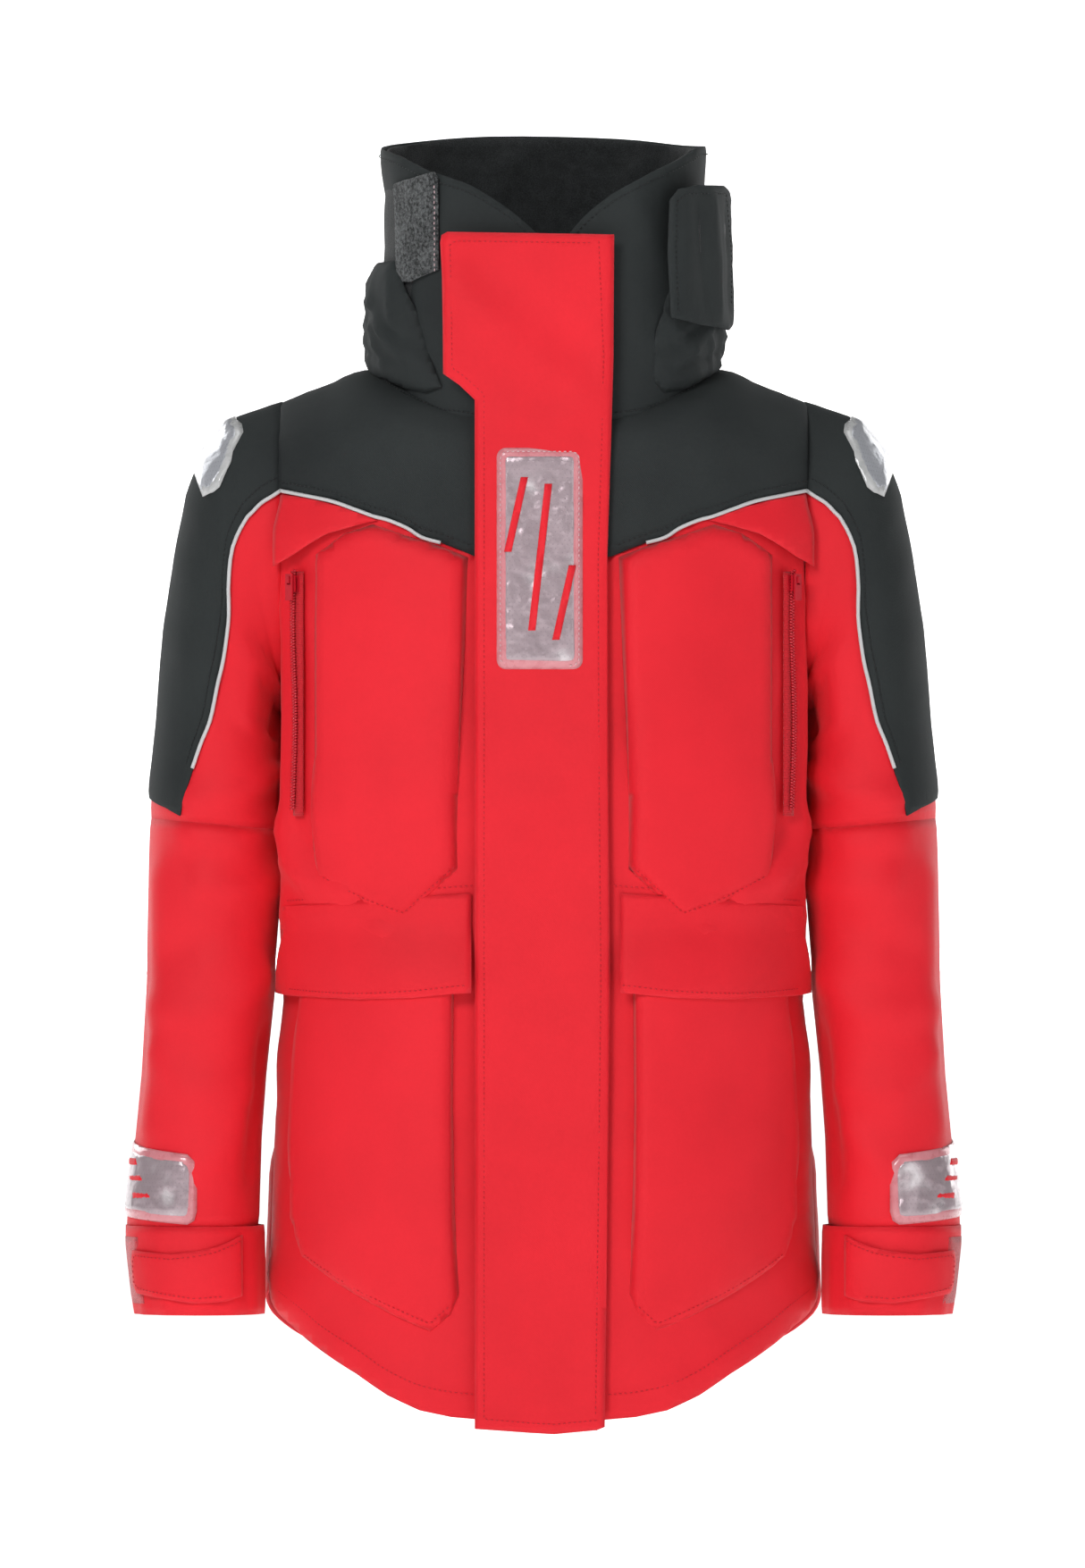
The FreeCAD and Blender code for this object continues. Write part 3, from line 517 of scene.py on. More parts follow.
def outward(mesh: bmesh.types.BMesh, chart: Chart) -> None:
    """Turns the faces of a laid sheet to the outside of its surface."""
    mesh.normal_update()
    layer = mesh.loops.layers.uv["cut"]
    vote = 0.0
    for face in list(mesh.faces)[::7]:
        u, v = face.loops[0][layer].uv
        vote += face.normal.dot(chart.normal(u, v))
    if vote < 0:
        bmesh.ops.reverse_faces(mesh, faces=mesh.faces)


def panel(name: str, chart: Chart, outline: Sequence[Pair], drape: Drape, finish: bpy.types.Material,
          thickness: float = 0.0012, step: float = 0.007, rims: Sequence[float] = (0.0015, 0.004),
          seed: float = 1.0) -> bpy.types.Object:
    """Makes one sewn panel.

    Args:
        name: The piece's name.
        chart: The surface it lies on.
        outline: Its cut, in pattern coordinates.
        drape: How it lies.
        finish: Its material.
        thickness: The cloth's thickness.
        step: Size of its grid.
        rims: Loops beside its edge.
        seed: Sets its own unevenness.

    Returns:
        The object.
    """
    mesh = flat_shape(outline, rims, step)
    lay(mesh, chart, drape, seed)
    outward(mesh, chart)
    piece = new_object(name, mesh, finish)
    thicken(piece, thickness)
    return piece


def ring_tube(name: str, rings: Sequence[Sequence[Vector]], finish: bpy.types.Material,
              closed: bool = True, caps: bool = False) -> bpy.types.Object:
    """Bridges rings of points, from one end to the other, into a tube.

    Args:
        name: The piece's name.
        rings: The rings, each with the same number of points.
        finish: Its material.
        closed: Whether each ring is a closed loop.
        caps: Whether the ends are filled.

    Returns:
        The object, its faces outwards.
    """
    mesh = bmesh.new()
    loops = []
    for ring in rings:
        verts = [mesh.verts.new(point) for point in ring]
        pairs = zip(verts, verts[1:] + verts[:1]) if closed else zip(verts, verts[1:])
        loops.append([mesh.edges.new(pair) for pair in pairs])
    for low, high in zip(loops, loops[1:]):
        bmesh.ops.bridge_loops(mesh, edges=low + high)
    if caps:
        bmesh.ops.holes_fill(mesh, edges=[edge for edge in mesh.edges if edge.is_boundary],
                             sides=len(rings[0]))
    bmesh.ops.recalc_face_normals(mesh, faces=mesh.faces)
    return new_object(name, mesh, finish)


def cordage(name: str, runs: Sequence[Sequence[Vector]], radius: float, finish: bpy.types.Material,
            sides: int = 8) -> bpy.types.Object:
    """Makes round piping along lines of points, all in one piece.

    Args:
        name: The piece's name.
        runs: Lines of points.
        radius: Radius of the piping.
        finish: Its material.
        sides: Corners of its section.

    Returns:
        The object.
    """
    mesh = bmesh.new()
    for run in runs:
        rings = []
        for i, point in enumerate(run):
            ahead = (run[min(i + 1, len(run) - 1)] - run[max(i - 1, 0)]).normalized()
            turn = ahead.to_track_quat("Z", "Y").to_matrix().to_4x4()
            ring = bmesh.ops.create_circle(mesh, cap_ends=False, segments=sides, radius=radius,
                                           matrix=Matrix.Translation(point) @ turn)["verts"]
            rings.append([edge for edge in {edge for vert in ring for edge in vert.link_edges}])
        for low, high in zip(rings, rings[1:]):
            bmesh.ops.bridge_loops(mesh, edges=low + high)
    bmesh.ops.holes_fill(mesh, edges=[edge for edge in mesh.edges if edge.is_boundary], sides=sides)
    bmesh.ops.recalc_face_normals(mesh, faces=mesh.faces)
    return new_object(name, mesh, finish)


@dataclass
class Seamstress:
    """Collects the stitches of each body and makes them as one piece."""

    length: float = 2.6 * MM
    gap: float = 1.3 * MM
    thread: float = 0.42 * MM
    places: dict[tuple[str, str], list[tuple[Vector, Vector, Vector]]] = field(default_factory=dict)

    def sew(self, body: str, shade: str, chart: Chart, line: Sequence[Pair],
            lift: Callable[[float, float], float],
            ) -> None:
        """Adds a row of stitches.

        Args:
            body: The body that the row moves with.
            shade: Name of the thread's finish.
            chart: The surface.
            line: The row, in pattern coordinates.
            lift: How far the cloth's face stands off the surface.
        """
        points = [chart.lifted(u, v, lift(u, v)) for u, v in walk(line, self.length + self.gap)]
        middles = walk(line, self.length + self.gap)
        rows = self.places.setdefault((body, shade), [])
        for here, ahead, (u, v) in zip(points, points[1:], middles):
            rows.append((here, (ahead - here).normalized(), chart.normal(u, v)))

    def finish_off(self, finishes: dict[str, bpy.types.Material]) -> list[tuple[bpy.types.Object, str]]:
        """Makes the stitches.

        Args:
            finishes: The threads' materials by name.

        Returns:
            The pieces with their bodies.
        """
        made = []
        for (body, shade), rows in sorted(self.places.items(), key=lambda item: item[0]):
            mesh = bmesh.new()
            for here, ahead, normal in rows:
                across = normal.cross(ahead).normalized()
                turn = Matrix((ahead, across, normal)).transposed().to_4x4()
                size = Matrix.Diagonal((self.length / 2, self.thread, self.thread, 1))
                bmesh.ops.create_icosphere(mesh, subdivisions=1, radius=1,
                                           matrix=Matrix.Translation(here) @ turn @ size)
            made.append((new_object(f"stitches_{shade}_{body}", mesh, finishes[shade]), body))
        return made


# ------------------------------------------------------------------ finishes


class Term:
    """A socket's value in an arithmetic expression. Each operator adds its Math node."""

    def __init__(self, nodes: "Recipe", socket: Any) -> None:
        """Wraps a socket or a number."""
        self.nodes, self.socket = nodes, socket

    def math(self, operation: str, *others: Any) -> "Term":
        """Adds one Math node with this value first."""
        values = [self.socket, *[other.socket if isinstance(other, Term) else other for other in others]]
        node = self.nodes.add("ShaderNodeMath", {"operation": operation}, dict(enumerate(values)))
        return Term(self.nodes, node.outputs[0])

    def __add__(self, other: Any) -> "Term":
        """Sum."""
        return self.math("ADD", other)

    def __sub__(self, other: Any) -> "Term":
        """Difference."""
        return self.math("SUBTRACT", other)

    def __mul__(self, other: Any) -> "Term":
        """Product."""
        return self.math("MULTIPLY", other)

    def __truediv__(self, other: Any) -> "Term":
        """Quotient."""
        return self.math("DIVIDE", other)

    def __rsub__(self, other: Any) -> "Term":
        """Difference from a number."""
        return Term(self.nodes, other).math("SUBTRACT", self)

    __radd__ = __add__
    __rmul__ = __mul__

    def wave(self, length: float) -> "Term":
        """A sine wave of a given length, from 0 to 1."""
        return (self * (2 * math.pi / length)).math("SINE") * 0.5 + 0.5

    def least(self, other: Any) -> "Term":
        """The smaller of two values."""
        return self.math("MINIMUM", other)

    def most(self, other: Any) -> "Term":
        """The larger of two values."""
        return self.math("MAXIMUM", other)

    def size(self) -> "Term":
        """The value without its sign."""
        return self.math("ABSOLUTE")

    def below(self, limit: float, soft: float) -> "Term":
        """1 under a limit, 0 over it, with a soft step between."""
        node = self.nodes.add("ShaderNodeMapRange", {"interpolation_type": "SMOOTHSTEP"},
                              {0: self.socket, 1: limit - soft, 2: limit + soft, 3: 1.0, 4: 0.0})
        return Term(self.nodes, node.outputs[0])


class Recipe:
    """Builds one node material."""

    def __init__(self, name: str) -> None:
        """Starts an empty material."""
        self.material = bpy.data.materials.new(name)
        self.material.use_nodes = True
        self.tree = self.material.node_tree
        self.tree.nodes.clear()
        self.output = self.tree.nodes.new("ShaderNodeOutputMaterial")

    def feed(self, socket: bpy.types.NodeSocket, value: Any) -> None:
        """Links a socket or sets its value."""
        value = value.socket if isinstance(value, Term) else value
        if isinstance(value, bpy.types.NodeSocket):
            self.tree.links.new(value, socket)
        elif isinstance(value, (tuple, list)) and len(value) == 3 and socket.type == "RGBA":
            socket.default_value = (*value, 1.0)
        else:
            socket.default_value = value

    def add(self, kind: str, settings: dict[str, Any] | None = None,
            sockets: dict[Any, Any] | None = None) -> bpy.types.Node:
        """Adds any node.

        Args:
            kind: The node's type.
            settings: Its settings, set first. "stops" fills a colour ramp.
            sockets: Values or links for its inputs.

        Returns:
            The node.
        """
        node = self.tree.nodes.new(kind)
        for key, value in (settings or {}).items():
            if key == "stops":
                while len(node.color_ramp.elements) < len(value):
                    node.color_ramp.elements.new(0.5)
                for element, (place, colour) in zip(node.color_ramp.elements, value):
                    element.position, element.color = place, (*colour, 1.0)
            else:
                setattr(node, key, value)
        for key, value in (sockets or {}).items():
            self.feed(node.inputs[key], value)
        return node

    def place(self) -> bpy.types.NodeSocket:
        """Object coordinates."""
        return self.add("ShaderNodeTexCoord").outputs["Object"]

    def cut(self) -> tuple[Term, Term]:
        """Pattern coordinates of a cloth piece, in metres."""
        uv = self.add("ShaderNodeUVMap", {"uv_map": "cut"}).outputs[0]
        split = self.add("ShaderNodeSeparateXYZ", sockets={0: uv})
        return Term(self, split.outputs[0]), Term(self, split.outputs[1])

    def edge(self) -> Term:
        """Distance from the edge of a cloth piece, in metres."""
        return Term(self, self.add("ShaderNodeAttribute", {"attribute_name": "edge"}).outputs["Fac"])

    def noise(self, scale: float, detail: float = 3.0, rough: float = 0.5) -> Term:
        """Noise in space, from 0 to 1."""
        node = self.add("ShaderNodeTexNoise", sockets={"Vector": self.place(), "Scale": scale,
                                                       "Detail": detail,
                                                       "Roughness": rough})
        return Term(self, node.outputs[0])

    def blend(self, low: Any, high: Any, share: Any) -> bpy.types.NodeSocket:
        """Mixes two colours."""
        node = self.add("ShaderNodeMix", {"data_type": "RGBA"}, {0: share, 6: low, 7: high})
        return node.outputs[2]

    def bump(self, height: Any, distance: float, strength: float = 1.0,
             onto: Any = None) -> bpy.types.NodeSocket:
        """Adds a Bump node."""
        sockets = {"Height": height, "Distance": distance, "Strength": strength}
        if onto is not None:
            sockets["Normal"] = onto
        return self.add("ShaderNodeBump", sockets=sockets).outputs[0]

    def surface(self, **sockets: Any) -> bpy.types.Material:
        """Adds the shader.

        Args:
            **sockets: Values by socket name, with underscores for spaces.

        Returns:
            The finished material.
        """
        shader = self.add("ShaderNodeBsdfPrincipled", sockets={key.replace("_", " "): value
                                                               for key, value in sockets.items()})
        self.tree.links.new(shader.outputs[0], self.output.inputs[0])
        self.material.diffuse_color = tuple(shader.inputs["Base Color"].default_value)
        return self.material


Colour = tuple[float, float, float]


def shade(red: int, green: int, blue: int) -> Colour:
    """Turns a screen colour into the linear one that shaders take."""
    return tuple((c / 255 / 12.92) if c <= 10 else ((c / 255 + 0.055) / 1.055) ** 2.4 for c in (red, green,
                                                                                                blue))


@dataclass(frozen=True)
class CoatedNylon:
    """Two-layer waterproof cloth: a tight plain weave with a soft sheen, paler where its edges rub."""

    name: str
    base: Colour
    deep: Colour
    worn: Colour
    thread: float = 0.0011
    roughness: float = 0.62
    sheen: float = 0.08
    relief: float = 0.00016
    rub: float = 0.30
    gloss: float = 0.28

    def make(self) -> bpy.types.Material:
        """Builds the material."""
        mix = Recipe(self.name)
        across, up = mix.cut()
        weave = across.wave(self.thread) * (up.wave(self.thread)) + (1 - across.wave(self.thread)) * (
            1 - up.wave(self.thread))
        slub = mix.noise(420, 2)
        cloud = mix.noise(9, 4, 0.55)
        colour = mix.blend(self.deep, self.base,
                           (cloud * 1.3 + weave * 0.18 + slub * 0.22 - 0.30).most(0).least(1))
        rub = mix.edge().below(0.0010, 0.0010) * (mix.noise(55, 3) * 1.4 - 0.5).most(0) * self.rub
        pucker = mix.edge().below(0.012, 0.006) * mix.noise(170, 2)
        normal = mix.bump(weave, self.relief, 0.55)
        normal = mix.bump(pucker, 0.0009, 0.35, normal)
        return mix.surface(Base_Color=mix.blend(colour, self.worn, rub),
                           Roughness=self.roughness + cloud * 0.10 - 0.05
                           + rub * 0.1, Normal=normal, Sheen_Weight=self.sheen, Sheen_Roughness=0.45,
                           Specular_IOR_Level=self.gloss)


@dataclass(frozen=True)
class Pile:
    """A napped face: the loops of a touch fastening, or brushed lining."""

    name: str
    base: Colour
    deep: Colour
    size: float = 900.0
    relief: float = 0.0011
    sheen: float = 0.5

    def make(self) -> bpy.types.Material:
        """Builds the material."""
        mix = Recipe(self.name)
        tuft = mix.noise(self.size, 4, 0.7)
        patch = mix.noise(self.size / 9, 3)
        share = (tuft * 3.6 + patch * 1.2 - 1.98).most(0).least(1)
        return mix.surface(Base_Color=mix.blend(self.deep, self.base, share), Roughness=0.9 - tuft * 0.1,
                           Normal=mix.bump(tuft + patch, self.relief, 0.9), Sheen_Weight=self.sheen,
                           Sheen_Roughness=0.6, Specular_IOR_Level=0.2)


@dataclass(frozen=True)
class Hooks:
    """The hook side of a touch fastening: rows of small stiff hooks on a woven tape."""

    name: str
    base: Colour
    deep: Colour
    pitch: float = 0.0016

    def make(self) -> bpy.types.Material:
        """Builds the material."""
        mix = Recipe(self.name)
        across, up = mix.cut()
        hook = across.wave(self.pitch) * up.wave(self.pitch)
        return mix.surface(Base_Color=mix.blend(self.deep, self.base, hook * 0.8 + mix.noise(300) * 0.3),
                           Roughness=0.5 - hook * 0.12, Normal=mix.bump(hook, 0.0007, 0.9),
                           Specular_IOR_Level=0.4)


@dataclass(frozen=True)
class Webbing:
    """Woven tape with a rib across it."""

    name: str
    base: Colour
    deep: Colour
    rib: float = 0.0016

    def make(self) -> bpy.types.Material:
        """Builds the material."""
        mix = Recipe(self.name)
        across, up = mix.cut()
        rib = up.wave(self.rib) * 0.7 + across.wave(self.rib * 0.6) * 0.3
        return mix.surface(Base_Color=mix.blend(self.deep, self.base, rib * 0.7 + mix.noise(260) * 0.4),
                           Roughness=0.72 + rib * 0.1, Normal=mix.bump(rib, 0.0004, 0.7), Sheen_Weight=0.15,
                           Specular_IOR_Level=0.3)


@dataclass(frozen=True)
class Moulded:
    """Moulded plastic, rubber or painted metal, with fine scuffs."""

    name: str
    base: Colour
    deep: Colour
    roughness: float = 0.38
    metallic: float = 0.0
    coat: float = 0.0
    relief: float = 0.00008

    def make(self) -> bpy.types.Material:
        """Builds the material."""
        mix = Recipe(self.name)
        grain = mix.noise(700, 3, 0.6)
        scuff = (mix.noise(90, 5, 0.7) * 3 - 1.6).most(0).least(1)
        return mix.surface(Base_Color=mix.blend(self.base, self.deep, scuff * 0.4 + grain * 0.2),
                           Roughness=self.roughness + scuff * 0.16 + grain * 0.06, Metallic=self.metallic,
                           Coat_Weight=self.coat, Normal=mix.bump(grain, self.relief,
                                                                  0.6), Specular_IOR_Level=0.45)


@dataclass(frozen=True)
class Retroreflector:
    """Prismatic film in honeycomb cells under a clear vinyl window with slow ripples, and painted glints along
    the ripples: bright reflections painted into its colour.
    """

    name: str
    film: Colour
    cell: Colour
    # The colour of the painted glints, a reflection painted into the base colour.
    glint: Colour
    pitch: float = 0.0036
    # How strongly the painted glints show.
    shine: float = 1.0

    def make(self) -> bpy.types.Material:
        """Builds the material."""
        mix = Recipe(self.name)
        across, up = mix.cut()
        wide, tall = self.pitch, self.pitch * math.sqrt(3)

        def lattice(shift: float) -> Term:
            a = ((across + shift * wide) / wide).math("FRACT") - 0.5
            b = ((up + shift * tall) / tall).math("FRACT") - 0.5
            return (a.size() * wide).most(a.size() * (wide / 2) + b.size() * (tall / 2))

        wall = (lattice(0.0).least(lattice(0.5)) / (wide / 2)).below(0.80, 0.06)
        ripple = mix.noise(26, 3, 0.55)
        # Bright streaks along the ripples are painted glints: reflected light painted into the base colour.
        painted_glint_mask = ((ripple * 7).math("SINE") * 0.5 + 0.5).math("POWER", 5.0)
        colour = mix.blend(self.cell, self.film, wall * 0.55 + ripple * 0.5)
        colour = mix.blend(colour, self.glint, painted_glint_mask * 0.75 * self.shine)
        normal = mix.bump(wall, 0.00018, 0.5)
        normal = mix.bump(ripple, 0.012, 0.55, normal)
        return mix.surface(Base_Color=colour, Roughness=0.30 - painted_glint_mask * 0.12, Metallic=0.35,
                           Coat_Weight=0.9,
                           Coat_Roughness=0.06, Normal=normal)


@dataclass(frozen=True)
class Vinyl:
    """The milky clear border of a reflector, with the cloth's colour showing through."""

    name: str
    base: Colour
    deep: Colour

    def make(self) -> bpy.types.Material:
        """Builds the material."""
        mix = Recipe(self.name)
        cloud = mix.noise(120, 3)
        return mix.surface(Base_Color=mix.blend(self.deep, self.base, cloud), Roughness=0.22 + cloud * 0.12,
                           Coat_Weight=0.8, Coat_Roughness=0.08, Normal=mix.bump(mix.noise(60), 0.002, 0.4))


RED, RED_DEEP, RED_WORN = shade(238, 30, 46), shade(212, 18, 34), shade(250, 84, 94)
DARK, DARK_DEEP, DARK_WORN = shade(52, 56, 56), shade(37, 40, 41), shade(88, 92, 93)


class Wardrobe:
    """Every finish of the jacket, by the record's slot names and a few of its own."""

    RECIPES = (
        CoatedNylon("red_cloth", RED, RED_DEEP, RED_WORN),
        CoatedNylon("dark_cloth", DARK, DARK_DEEP, DARK_WORN, roughness=0.78, sheen=0.0, rub=0.22,
                    gloss=0.14),
        CoatedNylon("lining_cloth", shade(40, 42, 46), shade(26, 28, 31), shade(70, 74, 78), 0.0014, 0.55,
                    0.2),
        Pile("brushed_lining", shade(44, 47, 48), shade(24, 26, 27), 1100, 0.0008, 0.1),
        Pile("loop_dark", shade(104, 107, 108), shade(22, 24, 25), 420, 0.0022, 0.1),
        Pile("loop_red", shade(226, 62, 72), shade(178, 26, 40), 800, 0.0012, 0.5),
        Hooks("hook_dark", shade(58, 60, 62), shade(24, 26, 27)),
        Hooks("hook_red", shade(214, 44, 56), shade(140, 16, 28)),
        Webbing("dark_tape", shade(48, 51, 53), shade(24, 26, 27)),
        Webbing("zip_tape", shade(206, 28, 42), shade(176, 16, 30)),
        Moulded("zip_plastic", shade(196, 24, 42), shade(140, 12, 26), 0.34, coat=0.2),
        Moulded("piping", shade(202, 203, 204), shade(160, 162, 164), 0.46),
        # Each reflector's third colour is the colour of its painted glints.
        Retroreflector("reflector", shade(176, 158, 164), shade(140, 124, 132), shade(244, 240, 242)),
        Retroreflector("reflector_silver", shade(188, 190, 196), shade(120, 124, 134), shade(252, 252, 255),
                       0.003),
        Vinyl("vinyl_red", shade(220, 150, 156), shade(196, 104, 114)),
        Vinyl("vinyl_clear", shade(206, 206, 206), shade(158, 160, 160)),
        Moulded("seal_rubber", shade(34, 36, 38), shade(20, 21, 22), 0.6),
        Moulded("thread_red", shade(196, 22, 38), shade(160, 14, 28), 0.6),
        Moulded("thread_dark", shade(26, 28, 29), shade(16, 17, 18), 0.6),
        Moulded("thread_pale", shade(226, 196, 200), shade(200, 150, 158), 0.55),
    )

    def __init__(self) -> None:
        """Builds every finish once."""
        self.finishes = {recipe.name: recipe.make() for recipe in self.RECIPES}

    def __getitem__(self, name: str) -> bpy.types.Material:
        """The finish of a name."""
        return self.finishes[name]


# ------------------------------------------------------------------ the jacket's sub-assemblies

TORSO_BODY = "torso"


@dataclass
class SubAssembly:
    """Shared by every part of the jacket: its finishes and its stitching."""

    wardrobe: Wardrobe
    needle: Seamstress

    def dress(self, piece: bpy.types.Object, body: str, slot: str, *nodes: str) -> bpy.types.Object:
        """Attaches a piece to the body it moves with and hides the frame nodes that it stands for.

        Args:
            piece: The piece.
            body: The body it moves with.
            slot: The record's material slot. Not used.
            *nodes: The nodes it replaces.

        Returns:
            The piece.
        """
        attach(piece, body)
        if nodes:
            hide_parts(*nodes)
        return piece

    def sewn(self, name: str, chart: Chart, outline: Sequence[Pair], drape: Drape, body: str, slot: str,
             *nodes: str, finish: str | None = None, **how: Any) -> bpy.types.Object:
        """Makes a panel that rides on a body and stands for CAD nodes.

        Args:
            name: The piece's name.
            chart: The surface it lies on.
            outline: Its cut.
            drape: How it lies.
            body: The body it rides on.
            slot: The material slot of the record.
            *nodes: The CAD nodes it replaces.
            finish: The recipe's name, where it isn't the slot's.
            **how: The rest of what panel() takes.

        Returns:
            The object.
        """
        piece = panel(name, chart, outline, drape, self.wardrobe[finish or slot], **how)
        return self.dress(piece, body, slot, *nodes)


def on_front(points: Sequence[Pair], side: Side) -> list[Pair]:
    """Turns x and z in millimetres, seen from the front on the left side, into body pattern points."""
    line = []
    for x, z in mm(points):
        u = TORSO.u_of(x, z)
        foot = TORSO.foot(x)
        rise = math.asin(clamp((z - foot) / TORSO.arch)) / HALF_PI * TORSO.over if z > foot else 0.0
        line.append((side.value * u, min(z, foot) + rise))
    return line


@dataclass
class Trunk(SubAssembly):
    """The body: red panels, dark yokes, lining, seams and piping."""

    yoke_front: tuple[Pair, ...] = ((197, -99), (183, -102), (160, -107), (143, -113), (127, -119),
                                    (116, -122),
                                    (102, -128), (91, -135), (77, -139), (52, -149), (9, -156))
    hem_front: tuple[Pair, ...] = ((9, -797.5), (46, -797), (69, -795), (93, -790), (117, -779),
                                   (141, -763),
                                   (165, -748), (189, -729), (208, -708))
    yoke_back: float = -118 * MM
    hem_back: float = -782 * MM
    waist_seam: tuple[Pair, ...] = ((54, -396), (90, -399), (130, -403), (165, -406), (195, -408))

    def front_folds(self, side: Side) -> tuple[Fold, ...]:
        """The soft folds of a front panel."""
        lines = (
            (((192, -380), (175, -395), (150, -400)), 3.2, 13), (((202, -352), (190, -368), (178, -388)),
                                                                 2.6, 12),
            (((190, -425), (170, -440), (140, -436)), 2.2, 16), (((200, -520), (160, -560), (120, -640)),
                                                                 1.8, 28),
            (((120, -430), (110, -450)), 1.6, 9), (((207, -690), (160, -745), (100, -782)), 1.5, 14),
            (((70, -425), (95, -438), (125, -428)), 1.4, 10))
        return tuple(Fold(tuple(on_front(line, side)), 1.9 * height * MM, width * MM) for line, height,
                     width in lines)

    def build(self) -> None:
        """Builds the trunk."""
        for side in Side:
            self.front(side)
            self.front_yoke(side)
        self.back()
        self.lining()
        self.piping()
        self.seam_stitches()

    def front(self, side: Side) -> None:
        """A red front panel, from the zip to the side seam."""
        seam = TORSO.side_seam
        yoke = on_front(self.yoke_front, side)
        hem = on_front(self.hem_front, side)
        edge = [(side.value * seam, -0.700), (side.value * seam, -0.55), (side.value * seam, -0.40),
                (side.value * seam, -0.25), (side.value * seam, -0.118)]
        outline = [*hem, *edge, *yoke]
        zip_line = side.value * TORSO.u_of(0.185, -0.25)

        def sunk(u: float, v: float) -> float:
            beside = ease(1 - abs(u - zip_line) / 0.02) * ease((v + 0.385) / 0.03) * ease((-0.130 - v) / 0.02)
            return -3.5 * MM * beside

        drape = Drape(lift=-0.2 * MM, uneven=2.6 * MM, grain=0.11, ripple=0.5 * MM,
                      folds=self.front_folds(side),
                      shape=sunk)
        self.sewn(f"front_panel_cloth_{side.word}", TORSO, outline, drape, TORSO_BODY, "red_cloth",
                  f"front_panel_{side.word}", step=0.008, seed=3 + side.value)

    def front_yoke(self, side: Side) -> None:
        """A dark front yoke, up to the shoulder's ridge."""
        top = TORSO.over
        reach = [(x * MM, TORSO.foot(x * MM) + top) for x in (196.9, 180, 160, 140, 125, 105, 85, 60, 30,
                                                              9)]
        ridge = [(side.value * TORSO.u_of(min(x, 0.1969), -0.1), v) for x, v in reach]
        outline = [*on_front(self.yoke_front[::-1], side), (side.value * TORSO.side_seam, -0.118),
                   (side.value * TORSO.side_seam, TORSO.foot(0.197) + top), *ridge]
        drape = Drape(lift=0.9 * MM, uneven=1.5 * MM, grain=0.09, folds=(
            Fold(tuple(on_front(((130, -30), (112, -46), (86, -56)), side)), 1.8 * MM, 9 * MM),
            Fold(tuple(on_front(((125, -50), (105, -66), (80, -72), (60, -78)), side)), 1.4 * MM, 7 * MM),
            Fold(tuple(on_front(((190, -60), (170, -90)), side)), 1.5 * MM, 14 * MM)))
        self.sewn(f"front_yoke_cloth_{side.word}", TORSO, outline, drape, TORSO_BODY, "dark_cloth",
                  f"front_yoke_{side.word}", step=0.008, seed=11 + side.value)

    def back(self) -> None:
        """The back panel and the back yoke."""
        seam, middle = TORSO.side_seam, TORSO.around
        start, stop = seam - 0.012, 2 * middle - seam + 0.012
        hem = [(start + (stop - start) * i / 12, self.hem_back + 0.083 * (abs(i - 6) / 6) ** 1.7)
               for i in range(13)]
        outline = [*hem, (stop, self.yoke_back), (middle + 0.10, self.yoke_back - 0.004),
                   (middle, self.yoke_back - 0.006), (middle - 0.10, self.yoke_back - 0.004),
                   (start, self.yoke_back)]
        folds = (Fold(((middle - 0.16, -0.40), (middle - 0.10, -0.56), (middle - 0.12, -0.74)), 3 * MM,
                      26 * MM),
                 Fold(((middle + 0.15, -0.38), (middle + 0.11, -0.55), (middle + 0.10, -0.75)), 3 * MM,
                      28 * MM),
                 Fold(((middle - 0.03, -0.16), (middle - 0.01, -0.34)), 2.4 * MM, 22 * MM),
                 Fold(((middle + 0.20, -0.20), (middle + 0.12, -0.30)), 3 * MM, 18 * MM),
                 Fold(((middle - 0.20, -0.20), (middle - 0.13, -0.31)), 3 * MM, 18 * MM))
        def flare(u: float, v: float) -> float:
            return 6.0 * MM * ease((-0.575 - v) / 0.04) * ease(min(u - start, stop - u) / 0.02)

        drape = Drape(lift=-3.0 * MM, uneven=3.0 * MM, grain=0.13, folds=folds, shape=flare)
        self.sewn("back_panel_cloth", TORSO, outline, drape, TORSO_BODY, "red_cloth", "back_panel",
                  step=0.011, seed=21)

        top = TORSO.over
        across = [TORSO.u_of(x, -0.1, True) for x in (0.1969, 0.17, 0.14, 0.11, 0.08, 0.04, 0.0)]
        ridge = [(u, TORSO.foot(TORSO.point(u, -0.1).x) + top) for u in across]
        ridge += [(2 * middle - u, v) for u, v in reversed(ridge[:-1])]
        low = [(2 * middle - seam, self.yoke_back), (middle + 0.10, self.yoke_back - 0.004),
               (middle, self.yoke_back - 0.006), (middle - 0.10, self.yoke_back - 0.004),
               (seam, self.yoke_back)]
        outline = [*low, (seam, TORSO.foot(0.197) + top), *ridge,
                   (2 * middle - seam, TORSO.foot(0.197) + top)]
        drape = Drape(lift=-1.5 * MM, uneven=2.0 * MM, grain=0.10)
        self.sewn("back_yoke_cloth", TORSO, outline, drape, TORSO_BODY, "dark_cloth", "back_yoke",
                  step=0.010, seed=25)

    def lining(self) -> None:
        """The mesh lining inside the body, seen through the neck and the hem."""
        rings = []
        for step in range(19):
            z = -0.698 + step * 0.0345
            rings.append([self.inside(i / 40 * 2 * TORSO.around, z) for i in range(40)])
        piece = ring_tube("body_lining_cloth", rings, self.wardrobe["lining_cloth"])
        thicken(piece, 0.0008)
        self.dress(piece, TORSO_BODY, "lining_cloth", "body_lining")

    def inside(self, u: float, z: float) -> Vector:
        """A place just inside the body's wall."""
        middle = Vector((0, TORSO.middle, z))
        place = TORSO.point(u if u <= TORSO.around else u - 2 * TORSO.around, z)
        return middle + (place - middle) * 0.94

